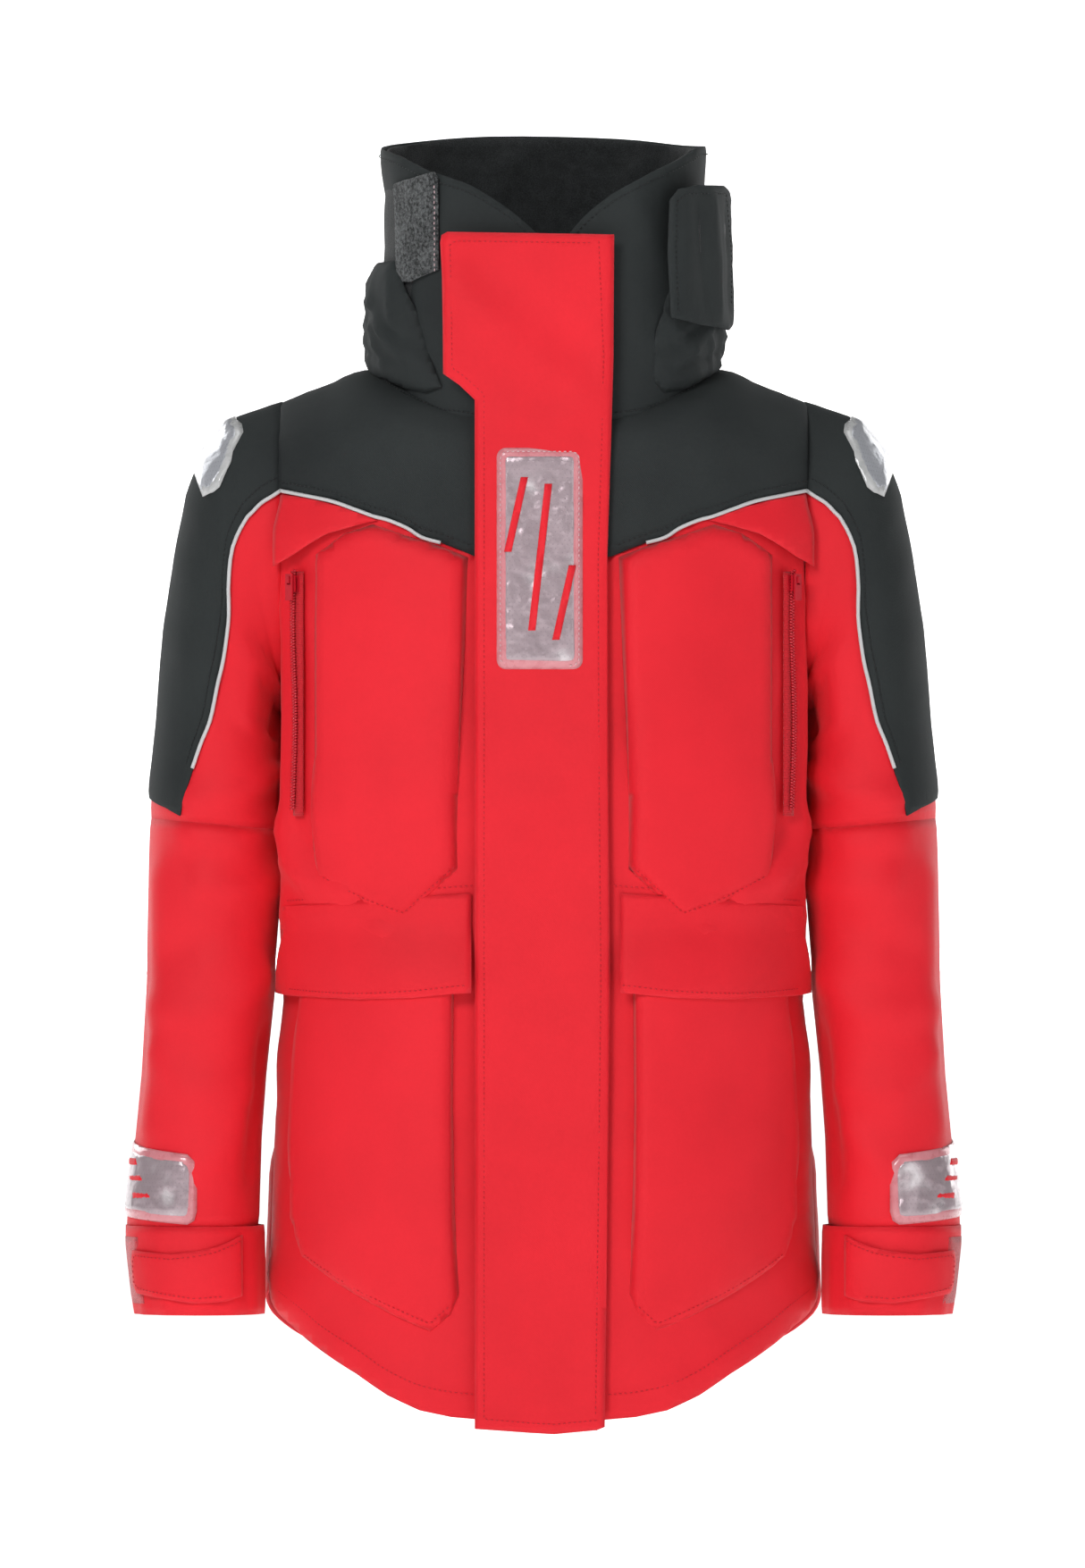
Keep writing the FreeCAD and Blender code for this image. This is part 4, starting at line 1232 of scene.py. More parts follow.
    def piping(self) -> None:
        """The pale cord in the yoke seams."""
        runs = []
        for side in Side:
            line = curve_through(on_front(self.yoke_front[:9], side), 5)
            runs.append([TORSO.lifted(u, v, 1.4 * MM) for u, v in line])
        piece = cordage("yoke_piping_cord", runs, 1.45 * MM, self.wardrobe["piping"])
        self.dress(piece, TORSO_BODY, "piping", "yoke_piping")

    def seam_stitches(self) -> None:
        """Topstitching of the waist, the hem and the yokes."""
        for side in Side:
            flat = lambda u, v: 1.3 * MM
            self.needle.sew(TORSO_BODY, "thread_red", TORSO, curve_through(on_front(self.waist_seam, side)),
                            flat)
            hem = [(x, z + 19) for x, z in self.hem_front[1:]]
            self.needle.sew(TORSO_BODY, "thread_red", TORSO, curve_through(on_front(hem, side)), flat)
            yoke = [(x, z + 7) for x, z in self.yoke_front[:10]]
            self.needle.sew(TORSO_BODY, "thread_dark", TORSO, curve_through(on_front(yoke, side)),
                            lambda u, v: 2.2 * MM)


@dataclass
class StormFlap(SubAssembly):
    """The placket over the zip, with its reflector and its fastening strips."""

    body: str = "storm_flap"
    face: float = -197.4
    outline: tuple[Pair, ...] = (
        (53, 92), (52.5, 0), (51, -54), (48, -148), (48.5, -300), (50, -470), (48, -640), (46, -802),
        (40, -804.5),
        (8, -807.5), (-10, -806.5), (-51.5, -803.5), (-51.5, -600), (-51.5, -300), (-51.5, -32), (-63, -21),
        (-75.2, -12.5), (-75.4, 20), (-76, 60), (-77.4, 86), (-76.4, 91.5), (-72, 94))

    def build(self) -> None:
        """Builds the flap."""
        chart = Facing(self.face * MM)
        self.chart = chart
        folds = (Fold(((0.048, -0.115), (0.010, -0.105), (-0.02, -0.112)), -1.1 * MM, 5 * MM),
                 Fold(((0.05, -0.03), (0.01, -0.05), (-0.03, -0.045)), 1.4 * MM, 10 * MM),
                 Fold(((-0.065, 0.050), (-0.02, 0.010), (0.025, -0.025)), 2.2 * MM, 12 * MM),
                 Fold(((-0.05, 0.07), (0.0, 0.035), (0.04, 0.0)), -1.6 * MM, 12 * MM),
                 Fold(((0.04, -0.30), (0.0, -0.33)), 1.4 * MM, 16 * MM),
                 Fold(((-0.04, -0.58), (0.0, -0.60), (0.04, -0.585)), 0.9 * MM, 12 * MM),
                 Fold(((0.03, -0.70), (-0.03, -0.72)), 0.9 * MM, 16 * MM),
                 Fold(((-0.07, 0.05), (-0.03, 0.02), (0.04, 0.03)), 0.8 * MM, 14 * MM))
        drape = Drape(lift=0.0, uneven=1.2 * MM, grain=0.09, curl=0.9 * MM, ripple=0.4 * MM, folds=folds,
                      bag=1.0 * MM, run=0.006)
        piece = self.sewn("storm_flap_cloth", chart, mm(self.outline), drape, self.body, "red_cloth",
                          "storm_flap", thickness=2.0 * MM, step=0.006, rims=(0.0012, 0.0025, 0.004),
                          seed=31)
        area = 0.5 * abs(sum(x0 * z1 - x1 * z0 for (x0, z0), (x1, z1) in zip(
            mm(self.outline), mm(self.outline[1:] + self.outline[:1]))))
        self.stitches()
        self.strips()
        self.reflector()

    def stitches(self) -> None:
        """One row along the sewn edge and one round the rest."""
        front = lambda u, v: 1.15 * MM
        inner = [(48.5 - 7, 86), (45, 0), (44, -54), (41, -148), (41.5, -300), (43, -470), (41, -640),
                 (39, -796)]
        self.needle.sew(self.body, "thread_red", self.chart, mm(inner), front)
        free = [(39, -797), (8, -800), (-10, -799), (-44.5, -796), (-44.5, -600), (-44.5, -300),
                (-44.5, -28),
                (-60, -14), (-68.5, -8), (-69, 30), (-70, 84), (-66, 87), (40, 85.5)]
        self.needle.sew(self.body, "thread_red", self.chart, mm(free), front)

    def strips(self) -> None:
        """The hook strip behind the flap and the loop strip that it closes on."""
        for name, node, slot, body in (("storm_flap_hooks", "storm_flap_hook_strip", "hook_red", self.body),
                                       ("storm_flap_loops", "storm_flap_loop_strip", "loop_red",
                                        TORSO_BODY)):
            low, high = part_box(node)
            chart = Facing(low[1])
            outline = [(low[0], low[2]), (high[0], low[2]), (high[0], high[2]), (low[0], high[2])]
            drape = Drape(uneven=0.0, ripple=0.0, curl=0.3 * MM)
            self.sewn(name, chart, outline, drape, body, slot, node, thickness=0.9 * MM, step=0.02, seed=5)

    def reflector(self) -> None:
        """The clear-windowed reflector on the chest, with a plain pattern of slanted bars."""
        low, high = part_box("chest_reflector")
        left, right, bottom, top, round_off = low[0], high[0], low[2], high[2], 0.007
        window = rounded(left, right, bottom, top, round_off)
        chart = Facing(-0.1982)
        border = Drape(lift=0.9 * MM, bag=0.5 * MM, run=0.003, uneven=0.1 * MM, ripple=0.0, curl=0.4 * MM)
        self.sewn("chest_reflector_border", chart, window, border, self.body, "reflector",
                  "chest_reflector", finish="vinyl_red", thickness=0.9 * MM, step=0.006, seed=41)
        film_shape = rounded(left + 0.005, right - 0.005, bottom + 0.005, top - 0.005, 0.005)
        film = Drape(lift=1.5 * MM, bag=0.4 * MM, run=0.004, uneven=0.6 * MM, grain=0.03, ripple=0.0)
        self.sewn("chest_reflector_film", chart, film_shape, film, self.body, "reflector",
                  thickness=0.5 * MM, step=0.003, seed=43)
        self.needle.sew(self.body, "thread_pale", chart,
                        [*rounded(left + 0.0028, right - 0.0028, bottom + 0.0028, top - 0.0028, 0.006)],
                        lambda u, v: 1.5 * MM)
        for number, (x, z, tall) in enumerate(((-0.024, -0.118, 0.056), (-0.006, -0.150, 0.110),
                                               (0.012, -0.184, 0.056))):
            bar = [(x - 0.0055, z - tall / 2), (x, z - tall / 2), (x + 0.0125, z + tall / 2),
                   (x + 0.007, z + tall / 2)]
            self.sewn(f"chest_reflector_bar_{number}", chart, bar,
                      Drape(lift=2.6 * MM, uneven=0.4 * MM, ripple=0.0, curl=0.3 * MM), self.body,
                      "red_cloth", thickness=0.4 * MM, step=0.006, rims=(), seed=47 + number)


@dataclass(frozen=True)
class Facing(Chart):
    """A flat surface that faces the front, at a depth."""

    depth: float

    def point(self, u: float, v: float) -> Vector:
        """See Chart."""
        return Vector((u, self.depth, v))


def rounded(left: float, right: float, bottom: float, top: float, corner: float,
            steps: int = 5) -> list[Pair]:
    """The corners of a rectangle with rounded corners."""
    line = []
    for x, z, start in ((right - corner, bottom + corner, -90), (right - corner, top - corner, 0),
                        (left + corner, top - corner, 90), (left + corner, bottom + corner, 180)):
        for i in range(steps + 1):
            angle = math.radians(start + 90 * i / steps)
            line.append((x + corner * math.cos(angle), z + corner * math.sin(angle)))
    return line


@dataclass
class Neck(SubAssembly):
    """The tall collar, the hood stowed round it, the loop patch and the face guard."""

    rim_left: tuple[Pair, ...] = ((17, 90), (31.5, 107), (52, 123), (82, 139), (99, 147), (115, 156),
                                  (123, 161))
    rim_right: tuple[Pair, ...] = ((2, 90), (10, 98), (29.5, 114), (54, 129), (77, 137), (89, 141),
                                   (105, 149),
                                   (121, 157))
    foot: tuple[Pair, ...] = ((2, -49), (50, -48), (76, -44), (100, -33), (118, -21), (127, -10))
    back_rim: float = 174 * MM

    def around(self, x: float, side: Side) -> float:
        """Pattern u of a place on the front, counted from the left front edge round the back."""
        u = COLLAR.u_of(x * MM)
        return u if side is Side.LEFT else 2 * COLLAR.around - u

    def rim(self, drop: float = 0.0) -> list[Pair]:
        """The rim, from the left front edge round the back to the right one."""
        left = [(self.around(x, Side.LEFT), z * MM - drop) for x, z in self.rim_left]
        right = [(self.around(x, Side.RIGHT), z * MM - drop) for x, z in reversed(self.rim_right)]
        middle = COLLAR.around
        back = [(middle - 0.13, 0.1655 - drop), (middle - 0.06, self.back_rim - 0.002 - drop),
                (middle + 0.04, self.back_rim - drop), (middle + 0.12, 0.168 - drop)]
        return curve_through([*left, *back, *right], 4)

    def base(self) -> list[Pair]:
        """The neck seam, the same way round."""
        left = [(self.around(x, Side.LEFT), z * MM) for x, z in ((17, -49), *self.foot[1:])]
        right = [(self.around(x, Side.RIGHT), z * MM) for x, z in reversed(self.foot)]
        middle = COLLAR.around
        return [*left, (middle - 0.14, 0.000), (middle, 0.004), (middle + 0.14, 0.000), *right]

    def build(self) -> None:
        """Builds the neck."""
        self.shell()
        self.hood()
        self.patch()
        self.guard()
        self.hang_loop()

    def shell(self) -> None:
        """The collar's outside and its brushed inside."""
        sides = (Side.LEFT, Side.RIGHT)
        folds = [Fold(((self.around(62, side), 0.13), (self.around(96, side), 0.06),
                       (self.around(104, side), -0.01)),
                      1.6 * MM, 10 * MM) for side in sides]
        folds += [Fold(((self.around(70, side), 0.02), (self.around(100, side), -0.02)), 2.0 * MM, 9 * MM)
                  for side in sides]
        folds += [Fold(((self.around(56, side), -0.03), (self.around(90, side), -0.022)), -1.2 * MM, 5 * MM)
                  for side in sides]
        folds += [Fold(((self.around(81, Side.LEFT), 0.13), (self.around(80, Side.LEFT), -0.04)), -1.6 * MM,
                       2.5 * MM)]
        far = 2 * COLLAR.around

        def lean(u: float, v: float) -> float:
            side_share = ease(1 - abs(u - (far - 0.17)) / 0.12) + 0.5 * ease(1 - abs(u - 0.17) / 0.12)
            return -7.0 * MM * side_share * ease((0.160 - v) / 0.05)

        drape = Drape(lift=-0.3 * MM, uneven=2.2 * MM, grain=0.06, ripple=0.6 * MM, folds=tuple(folds),
                      shape=lean)
        outline = [*self.base(), *reversed(self.rim())]
        self.sewn("collar_shell_cloth", COLLAR, outline, drape, TORSO_BODY, "dark_cloth", "collar_shell",
                  thickness=2.0 * MM, step=0.008, rims=(0.0012, 0.003), seed=51)
        inner_folds = tuple(Fold(((COLLAR.around + a, 0.162), (COLLAR.around + b, 0.10),
                                  (COLLAR.around + c, 0.03)),
                                 -5.0 * MM, 11 * MM) for a, b, c in ((-0.09, -0.05, 0.0),
                                                                     (0.02, 0.05, 0.10),
                                                                    (0.11, 0.15, 0.16), (-0.16, -0.13,
                                                                                         -0.09)))
        drape = Drape(lift=-4.4 * MM, uneven=2.4 * MM, grain=0.06, ripple=0.0, folds=inner_folds)
        outline = [*[(u, v + 0.001) for u, v in self.base()], *reversed(self.rim(1.2 * MM))]
        self.sewn("collar_lining_cloth", COLLAR, outline, drape, TORSO_BODY, "brushed_lining",
                  "collar_lining", thickness=1.4 * MM, step=0.008, seed=53)
        self.needle.sew(TORSO_BODY, "thread_dark", COLLAR, [(u, v - 0.006) for u, v in self.rim()][2:-2],
                        lambda u, v: 0.5 * MM)
        self.needle.sew(TORSO_BODY, "thread_dark", COLLAR, [(u, v + 0.006) for u, v in self.base()],
                        lambda u, v: 0.6 * MM)

    def hood(self) -> None:
        """The hood, rolled up in its pocket round the sides and back of the collar."""
        left = [(self.around(x, Side.LEFT), z * MM) for x,
                z in ((112, 73), (96, 56), (84, 20), (80, -14), (90, -26),
                                                                (106, -23), (120, -15))]
        right = [(self.around(x, Side.RIGHT), z * MM) for x,
                 z in ((118, -15), (104, -22), (88, -26), (76, -22),
                                                                  (86, 6), (98, 40), (113, 74))]
        high = 0.0735
        middle = COLLAR.around
        outline = [*left, (middle - 0.14, -0.012), (middle, -0.006), (middle + 0.14, -0.012), *right,
                   (middle + 0.10, high), (middle, high + 0.002), (middle - 0.10, high)]

        def gathers(u: float, v: float) -> float:
            wobble = noise.noise(Vector((u * 9, v * 6, 2.2)))
            crush = noise.noise(Vector((u * 34, v * 22, 5.1)))
            level = math.sin(math.pi * clamp((v + 0.022) / (high + 0.022)))
            pull = 1 - abs(math.sin(u * 105 + v * 45 + 5 * wobble))
            return level * (3.4 * MM * pull ** 2.5 + 2.6 * MM * crush - 1.0 * MM)

        creases = [Fold(((self.around(a, side), za * MM), (self.around(b, side), zb * MM)), tall * MM,
                        wide * MM)
                   for side in Side for a, za, b, zb, tall, wide in (
                       (124, 40, 86, 4, -3.4, 3.4), (128, 10, 84, -12, -2.8, 3.0), (126, 60, 112, 20, 3.0,
                                                                                    4.5),
                       (118, 30, 96, -6, 2.8, 4.0), (130, -4, 100, -18, 2.2, 3.6))]
        drape = Drape(lift=0.3 * MM, bag=9.0 * MM, run=0.036, uneven=1.8 * MM, grain=0.035, shape=gathers,
                      folds=tuple(creases))
        piece = self.sewn("stowed_hood_cloth", COLLAR, outline, drape, TORSO_BODY, "dark_cloth",
                          "stowed_hood", thickness=2.4 * MM, step=0.0045, seed=57)

    def patch(self) -> None:
        """The loop patch that the face guard closes on."""
        side = Side.RIGHT
        outline = [(self.around(x, side), z * MM) for x, z in ((78, 66), (79, 136), (82, 140), (100, 135.5),
                                                              (114, 132), (115, 128), (112, 64), (106, 58),
                                                              (100, 57.5))]
        def nap(u: float, v: float) -> float:
            return 0.7 * MM * noise.noise(Vector((u * 420, v * 420,
                                                  8.0))) - 4.2 * MM * ease((0.160 - v) / 0.05) * ease(
                1 - abs(u - (2 * COLLAR.around - 0.17)) / 0.12)

        drape = Drape(lift=3.2 * MM, uneven=0.3 * MM, ripple=0.0, bag=0.6 * MM, run=0.004, shape=nap)
        self.sewn("collar_loop_patch_pile", COLLAR, outline, drape, TORSO_BODY, "loop_dark",
                  "collar_loop_patch", thickness=1.4 * MM, step=0.0016, seed=61)
        self.needle.sew(TORSO_BODY, "thread_pale", COLLAR,
                        [(self.around(x, side), z * MM) for x, z in ((80.5, 66), (81.2, 135))],
                        lambda u, v: 4.0 * MM + nap(u, v))

    def guard(self) -> None:
        """The face guard, folded back on the left of the collar, with its hook patch behind."""
        side = Side.LEFT
        shape = ((86, 30), (84.5, 78), (86, 118), (92, 127), (104, 130), (122, 131), (130, 124),
                 (130.5, 80),
                 (129, 30), (123, 22), (104, 25))
        outline = [(self.around(x, side), z * MM) for x, z in shape]
        folds = tuple(Fold(((self.around(x0, side), 0.125), (self.around(x1, side), 0.03)), tall * MM,
                           5 * MM)
                      for x0, x1, tall in ((97, 94, 2.0), (104, 109, -2.4), (114, 117, 2.6),
                                           (123, 124, -2.2)))
        drape = Drape(lift=17.6 * MM, uneven=1.0 * MM, grain=0.03, ripple=0.6 * MM, folds=folds)
        piece = self.sewn("face_guard_cloth", COLLAR, outline, drape, "face_guard", "dark_cloth",
                          "face_guard", thickness=1.8 * MM, step=0.005, seed=63)
        self.needle.sew("face_guard", "thread_dark", COLLAR,
                        [(self.around(x, side), z * MM) for x,
                         z in ((90, 36), (89, 78), (90, 117), (96, 123),
                                                                    (122, 125), (125, 80), (124, 36))],
                        lambda u, v: 18.1 * MM)
        hooks = [(self.around(x, side), z * MM) for x, z in ((100, 46), (100, 110), (126, 110), (126, 46))]
        self.sewn("face_guard_hooks", COLLAR, hooks, Drape(lift=15.5 * MM, uneven=0.2 * MM, ripple=0.0),
                  "face_guard", "hook_dark", "face_guard_hook_patch", thickness=0.6 * MM, step=0.01,
                  seed=67)

    def hang_loop(self) -> None:
        """The tape loop at the back of the neck."""
        low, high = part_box("hang_loop")
        reach, back = high[0], high[1] - 0.0006
        path = curve_through([(-reach, 0.0006), (-0.027, 0.0006), (-0.0245, back * 0.55), (-0.020, back),
                              (0.0, back), (0.020, back), (0.0245, back * 0.55), (0.027, 0.0006),
                              (reach, 0.0006)], 5)
        mesh = bmesh.new()
        verts = [mesh.verts.new((x, y, low[2])) for x, y in path]
        edges = [mesh.edges.new(pair) for pair in zip(verts, verts[1:])]
        for _ in range(3):
            grown = bmesh.ops.extrude_edge_only(mesh, edges=edges)["geom"]
            bmesh.ops.translate(mesh, verts=[item for item in grown if isinstance
                                             (item, bmesh.types.BMVert)],
                                vec=(0, 0, (high[2] - low[2]) / 3))
            edges = [item for item in grown if isinstance(item, bmesh.types.BMEdge)]
        pattern = mesh.loops.layers.uv.new("cut")
        for face in mesh.faces:
            for corner in face.loops:
                corner[pattern].uv = (corner.vert.co.z, corner.vert.co.x)
        piece = new_object("hang_loop_tape", mesh, self.wardrobe["dark_tape"])
        thicken(piece, 1.0 * MM)
        piece.modifiers["Thickness"].offset = 0.0
        self.dress(piece, TORSO_BODY, "dark_tape", "hang_loop")


@dataclass
class Pockets(SubAssembly):
    """Chest pockets with their side zips and garages, and cargo pockets with their flaps."""

    chest: tuple[Pair, ...] = ((56.5, -150), (59, -215), (62, -275), (64, -330), (64, -384), (104, -422.5),
                               (133, -411), (171, -391), (172, -300), (172, -148), (150, -132), (128, -125),
                               (96, -136), (76, -142))
    garage: tuple[Pair, ...] = ((196, -102), (196, -156), (184, -149), (176, -143.5), (158, -131.5),
                                (140, -126),
                                (124, -122), (134, -118), (150, -112), (168, -107), (184, -103.5))
    cargo: tuple[Pair, ...] = ((66.5, -425), (67.5, -490), (68, -560), (66.5, -640), (63.5, -703),
                               (70, -718),
                               (85, -730.5), (110, -720), (135, -707), (160, -692), (182, -676),
                               (189, -645),
                               (189.5, -560), (189.5, -425))
    flap: tuple[Pair, ...] = ((54, -402), (54, -476.5), (70, -477.5), (96, -480.5), (131, -482),
                              (158, -481),
                              (185, -478), (194, -476), (194.5, -440), (195, -412), (165, -410),
                              (120, -406))
    flap_inner: float = 57.5

    def build(self) -> None:
        """Builds the pockets of both sides and what both sides share."""
        self.side_zips()
        for side in Side:
            self.chest_pocket(side)
            self.zip_garage(side)
            self.cargo_pocket(side)
            self.cargo_flap(side)

    def bellows(self, side: Side, inner: float, outer: float, low: float, tall: float, deep: float,
                flat: float, top: float = 0.0) -> Callable[[float, float], float]:
        """How deep a pocket stands: full beside the placket, shallow at its outside and its tip.

        Args:
            side: The wearer's side.
            inner: x of the inner edge, in millimetres.
            outer: x of the outer edge.
            low: z of the tip.
            tall: The height over which the pocket grows from its tip.
            deep: Depth at the inner edge, in metres.
            flat: Depth at the tip.
            top: z of a top edge that lies flat, where it has one.

        Returns:
            The depth as a function of the pattern point.
        """
        u_in, u_out = TORSO.u_of(inner * MM, -0.4), TORSO.u_of(outer * MM, -0.4)

        def depth(u: float, v: float) -> float:
            across = clamp((side.value * u - u_in) / (u_out - u_in))
            up = ease((v / MM - low) / tall) * (ease((top - v / MM) / 52) if top else 1.0)
            return flat + (deep - flat) * up * (1 - 0.62 * ease(across))

        return depth

    def chest_pocket(self, side: Side) -> None:
        """A chest pocket, pleated beside the placket."""
        outline = on_front(self.chest, side)
        folds = (Fold(tuple(on_front(((68, -160), (72, -260), (74, -360)), side)), 0.8 * MM, 8 * MM),
                 Fold(tuple(on_front(((160, -200), (150, -300), (140, -380)), side)), 1.2 * MM, 20 * MM),
                 Fold(tuple(on_front(((100, -150), (120, -260)), side)), 0.8 * MM, 22 * MM))
        drape = Drape(lift=0.5 * MM, bag=self.bellows(side, 58, 172, -423, 120, 10.5 * MM, 3.0 * MM),
                      run=0.0045,
                      uneven=1.6 * MM, grain=0.09, folds=folds)
        self.sewn(f"chest_pocket_cloth_{side.word}", TORSO, outline, drape, TORSO_BODY, "red_cloth",
                  f"chest_pocket_{side.word}", step=0.007, rims=(0.001, 0.0015, 0.002, 0.003),
                  seed=71 + side.value)
        depth = self.bellows(side, 58, 172, -423, 120, 10.5 * MM, 3.0 * MM)
        tip = [(67.5, -383), (104, -417), (133, -406), (168, -387)]
        self.needle.sew(TORSO_BODY, "thread_red", TORSO, walk(on_front(tip, side), 0.004),
                        lambda u, v: depth(u, v) + 0.7 * MM)

    def zip_garage(self, side: Side) -> None:
        """The triangular hood over the top of the side zip."""
        def stand(u: float, v: float) -> float:
            x = abs(TORSO.point(u, v).x) / MM
            seam = along(((124, -121), (140, -114), (160, -107), (183, -102), (197, -99)), x)
            return 8.0 * MM * ease((seam - v / MM) / 34)

        drape = Drape(lift=3.0 * MM, uneven=0.7 * MM, grain=0.04, shape=stand, curl=0.5 * MM)
        self.sewn(f"zip_garage_cloth_{side.word}", TORSO, on_front(self.garage, side), drape, TORSO_BODY,
                  "red_cloth", f"zip_garage_{side.word}", thickness=1.3 * MM, step=0.005,
                  seed=77 + side.value)

    def cargo_depth(self, side: Side) -> Callable[[float, float], float]:
        """How deep a cargo pocket stands."""
        return self.bellows(side, 66, 190, -731, 110, 12.5 * MM, 1.4 * MM, -424)

    def cargo_pocket(self, side: Side) -> None:
        """A cargo pocket with a pointed foot, pleated beside the placket."""
        folds = (Fold(tuple(on_front(((72, -490), (76, -600), (72, -700)), side)), 0.9 * MM, 7 * MM),
                 Fold(tuple(on_front(((170, -500), (150, -600), (140, -690)), side)), 1.6 * MM, 24 * MM),
                 Fold(tuple(on_front(((100, -500), (110, -620)), side)), 1.0 * MM, 26 * MM),
                 Fold(tuple(on_front(((90, -715), (130, -690)), side)), 1.0 * MM, 12 * MM))
        depth = self.cargo_depth(side)
        drape = Drape(lift=0.5 * MM, bag=depth, run=0.0045, uneven=1.8 * MM, grain=0.10, folds=folds)
        self.sewn(f"cargo_pocket_cloth_{side.word}", TORSO, on_front(self.cargo, side), drape, TORSO_BODY,
                  "red_cloth", f"cargo_pocket_{side.word}", step=0.007, rims=(0.001, 0.0015, 0.002, 0.003),
                  seed=81 + side.value)
        foot = [(72, -713), (85, -725), (135, -702), (180, -672)]
        self.needle.sew(TORSO_BODY, "thread_red", TORSO, walk(on_front(foot, side), 0.004),
                        lambda u, v: depth(u, v) + 0.7 * MM)

    def cargo_flap(self, side: Side) -> None:
        """The flap over a cargo pocket, and the fold that it hangs from."""
        body = f"cargo_flap_{side.word}"
        inner = self.flap_inner if side is Side.LEFT else 0.0
        outline = on_front([(max(x, inner), z) for x, z in self.flap], side)
        depth = self.cargo_depth(side)

        def over_pocket(u: float, v: float) -> float:
            return depth(u, v) + 2.6 * MM * ease((-0.422 - v) / 0.03)

        drape = Drape(lift=1.5 * MM, uneven=1.0 * MM, grain=0.07, shape=over_pocket, curl=0.6 * MM)
        piece = panel(f"cargo_flap_cloth_{side.word}", TORSO, outline, drape, self.wardrobe["red_cloth"],
                      thickness=1.5 * MM, step=0.005, rims=(0.0012, 0.003), seed=85 + side.value)
        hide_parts(body)
        place = side.value * 0.125
        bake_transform(piece, TORSO_BODY, body, start=(place, -0.195, -0.409), end=(place, -0.195, -0.440))
        wide = TORSO.u_of(0.1945, -0.44) - TORSO.u_of(0.054, -0.44)
        rows = [(60, -471), (70, -472), (96, -475), (131, -476.5), (158, -475.5), (186, -472.5)]
        self.needle.sew(body, "thread_red", TORSO, curve_through(on_front(rows, side)),
                        lambda u, v: 1.8 * MM + over_pocket(u, v))

    def side_zips(self) -> None:
        """The handwarmer zips' tapes and teeth, both sides in one piece each."""
        mesh = bmesh.new()
        for side in Side:
            u = side.value * TORSO.u_of(0.185, -0.25)
            for k in range(82):
                v = -0.160 - k * 0.0022
                for half in (-1, 1):
                    bend = 0.0012 * math.sin((v + 0.16) * 42)
                    centre = TORSO.lifted(u + bend + half * 0.0010, v + half * 0.00055, 4.6 * MM)
                    ahead = (TORSO.point(u, v + 0.002) - TORSO.point(u, v)).normalized()
                    normal = TORSO.normal(u, v)
                    turn = Matrix((ahead.cross(normal), ahead, normal)).transposed().to_4x4()
                    size = Matrix.Diagonal((0.0017, 0.0012, 0.0013, 1))
                    bmesh.ops.create_icosphere(mesh, subdivisions=1, radius=1,
                                               matrix=Matrix.Translation(centre) @ turn @ size)
        piece = new_object("handwarmer_zip_coil", mesh, self.wardrobe["zip_plastic"])
        self.dress(piece, TORSO_BODY, "zip_plastic", "handwarmer_zip_teeth")
        for side in Side:
            u = side.value * TORSO.u_of(0.185, -0.25)
            near = 0.5 * (1 - side.value) * 0.004
            outline = [(u - 0.007 + near, -0.344), (u + 0.003 + near, -0.344), (u + 0.003 + near, -0.160),
                       (u - 0.007 + near, -0.160)]
            piece = panel(f"handwarmer_tape_{side.word}", TORSO, outline,
                          Drape(lift=2.3 * MM, uneven=0.3 * MM, ripple=0.0, bag=0.8 * MM, run=0.008),
                          self.wardrobe["zip_tape"], thickness=0.8 * MM, step=0.004, rims=(), seed=91)
            self.dress(piece, TORSO_BODY, "zip_tape")
        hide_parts("handwarmer_zip_tapes")


@dataclass
class MainZip(SubAssembly):
    """The centre front zip's tapes and teeth, and the flap behind it."""

    pitch: float = 4.2 * MM

    def build(self) -> None:
        """Builds the zip."""
        low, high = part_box("main_zip_teeth")
        middle = (low[1] + high[1]) / 2
        mesh = bmesh.new()
        count = int((high[2] - low[2]) / self.pitch)
        for k in range(count):
            for half in (-1, 1):
                z = low[2] + 0.002 + k * self.pitch + (half + 1) * self.pitch / 4
                size = Matrix.Diagonal((0.0038, 0.0030, 0.0017, 1))
                verts = bmesh.ops.create_cube(mesh, size=1.0, matrix=Matrix.Translation(
                    (half * 0.00155, middle, z)) @ size)["verts"]
                edges = list({edge for vert in verts for edge in vert.link_edges})
                bmesh.ops.bevel(mesh, geom=edges, offset=0.0004, affect="EDGES", segments=1, profile=0.5,
                                material=-1)
        piece = new_object("main_zip_teeth_row", mesh, self.wardrobe["zip_plastic"])
        self.dress(piece, TORSO_BODY, "zip_plastic", "main_zip_teeth")
        low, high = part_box("main_zip_tapes")
        chart = Facing(low[1] + 0.0002)
        for side in Side:
            inner, outer = side.value * 0.0032, side.value * high[0]
            outline = [(inner, low[2]), (outer, low[2]), (outer, high[2]), (inner, high[2])]
            piece = panel(f"main_zip_tape_{side.word}", chart, outline,
                          Drape(uneven=0.0, ripple=0.0, curl=0.0),
                          self.wardrobe["zip_tape"], thickness=1.0 * MM, step=0.02, rims=(), seed=93)
            self.dress(piece, TORSO_BODY, "zip_tape")
        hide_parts("main_zip_tapes")
        low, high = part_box("inner_storm_flap")
        outline = [(low[0], low[2]), (high[0], low[2]), (high[0], high[2]), (low[0], high[2])]
        self.sewn("inner_flap_cloth", Facing(low[1] + 0.0003), outline, Drape(uneven=0.3 * MM, ripple=0.0),
                  TORSO_BODY, "red_cloth", "inner_storm_flap", thickness=1.4 * MM, step=0.02, seed=95)


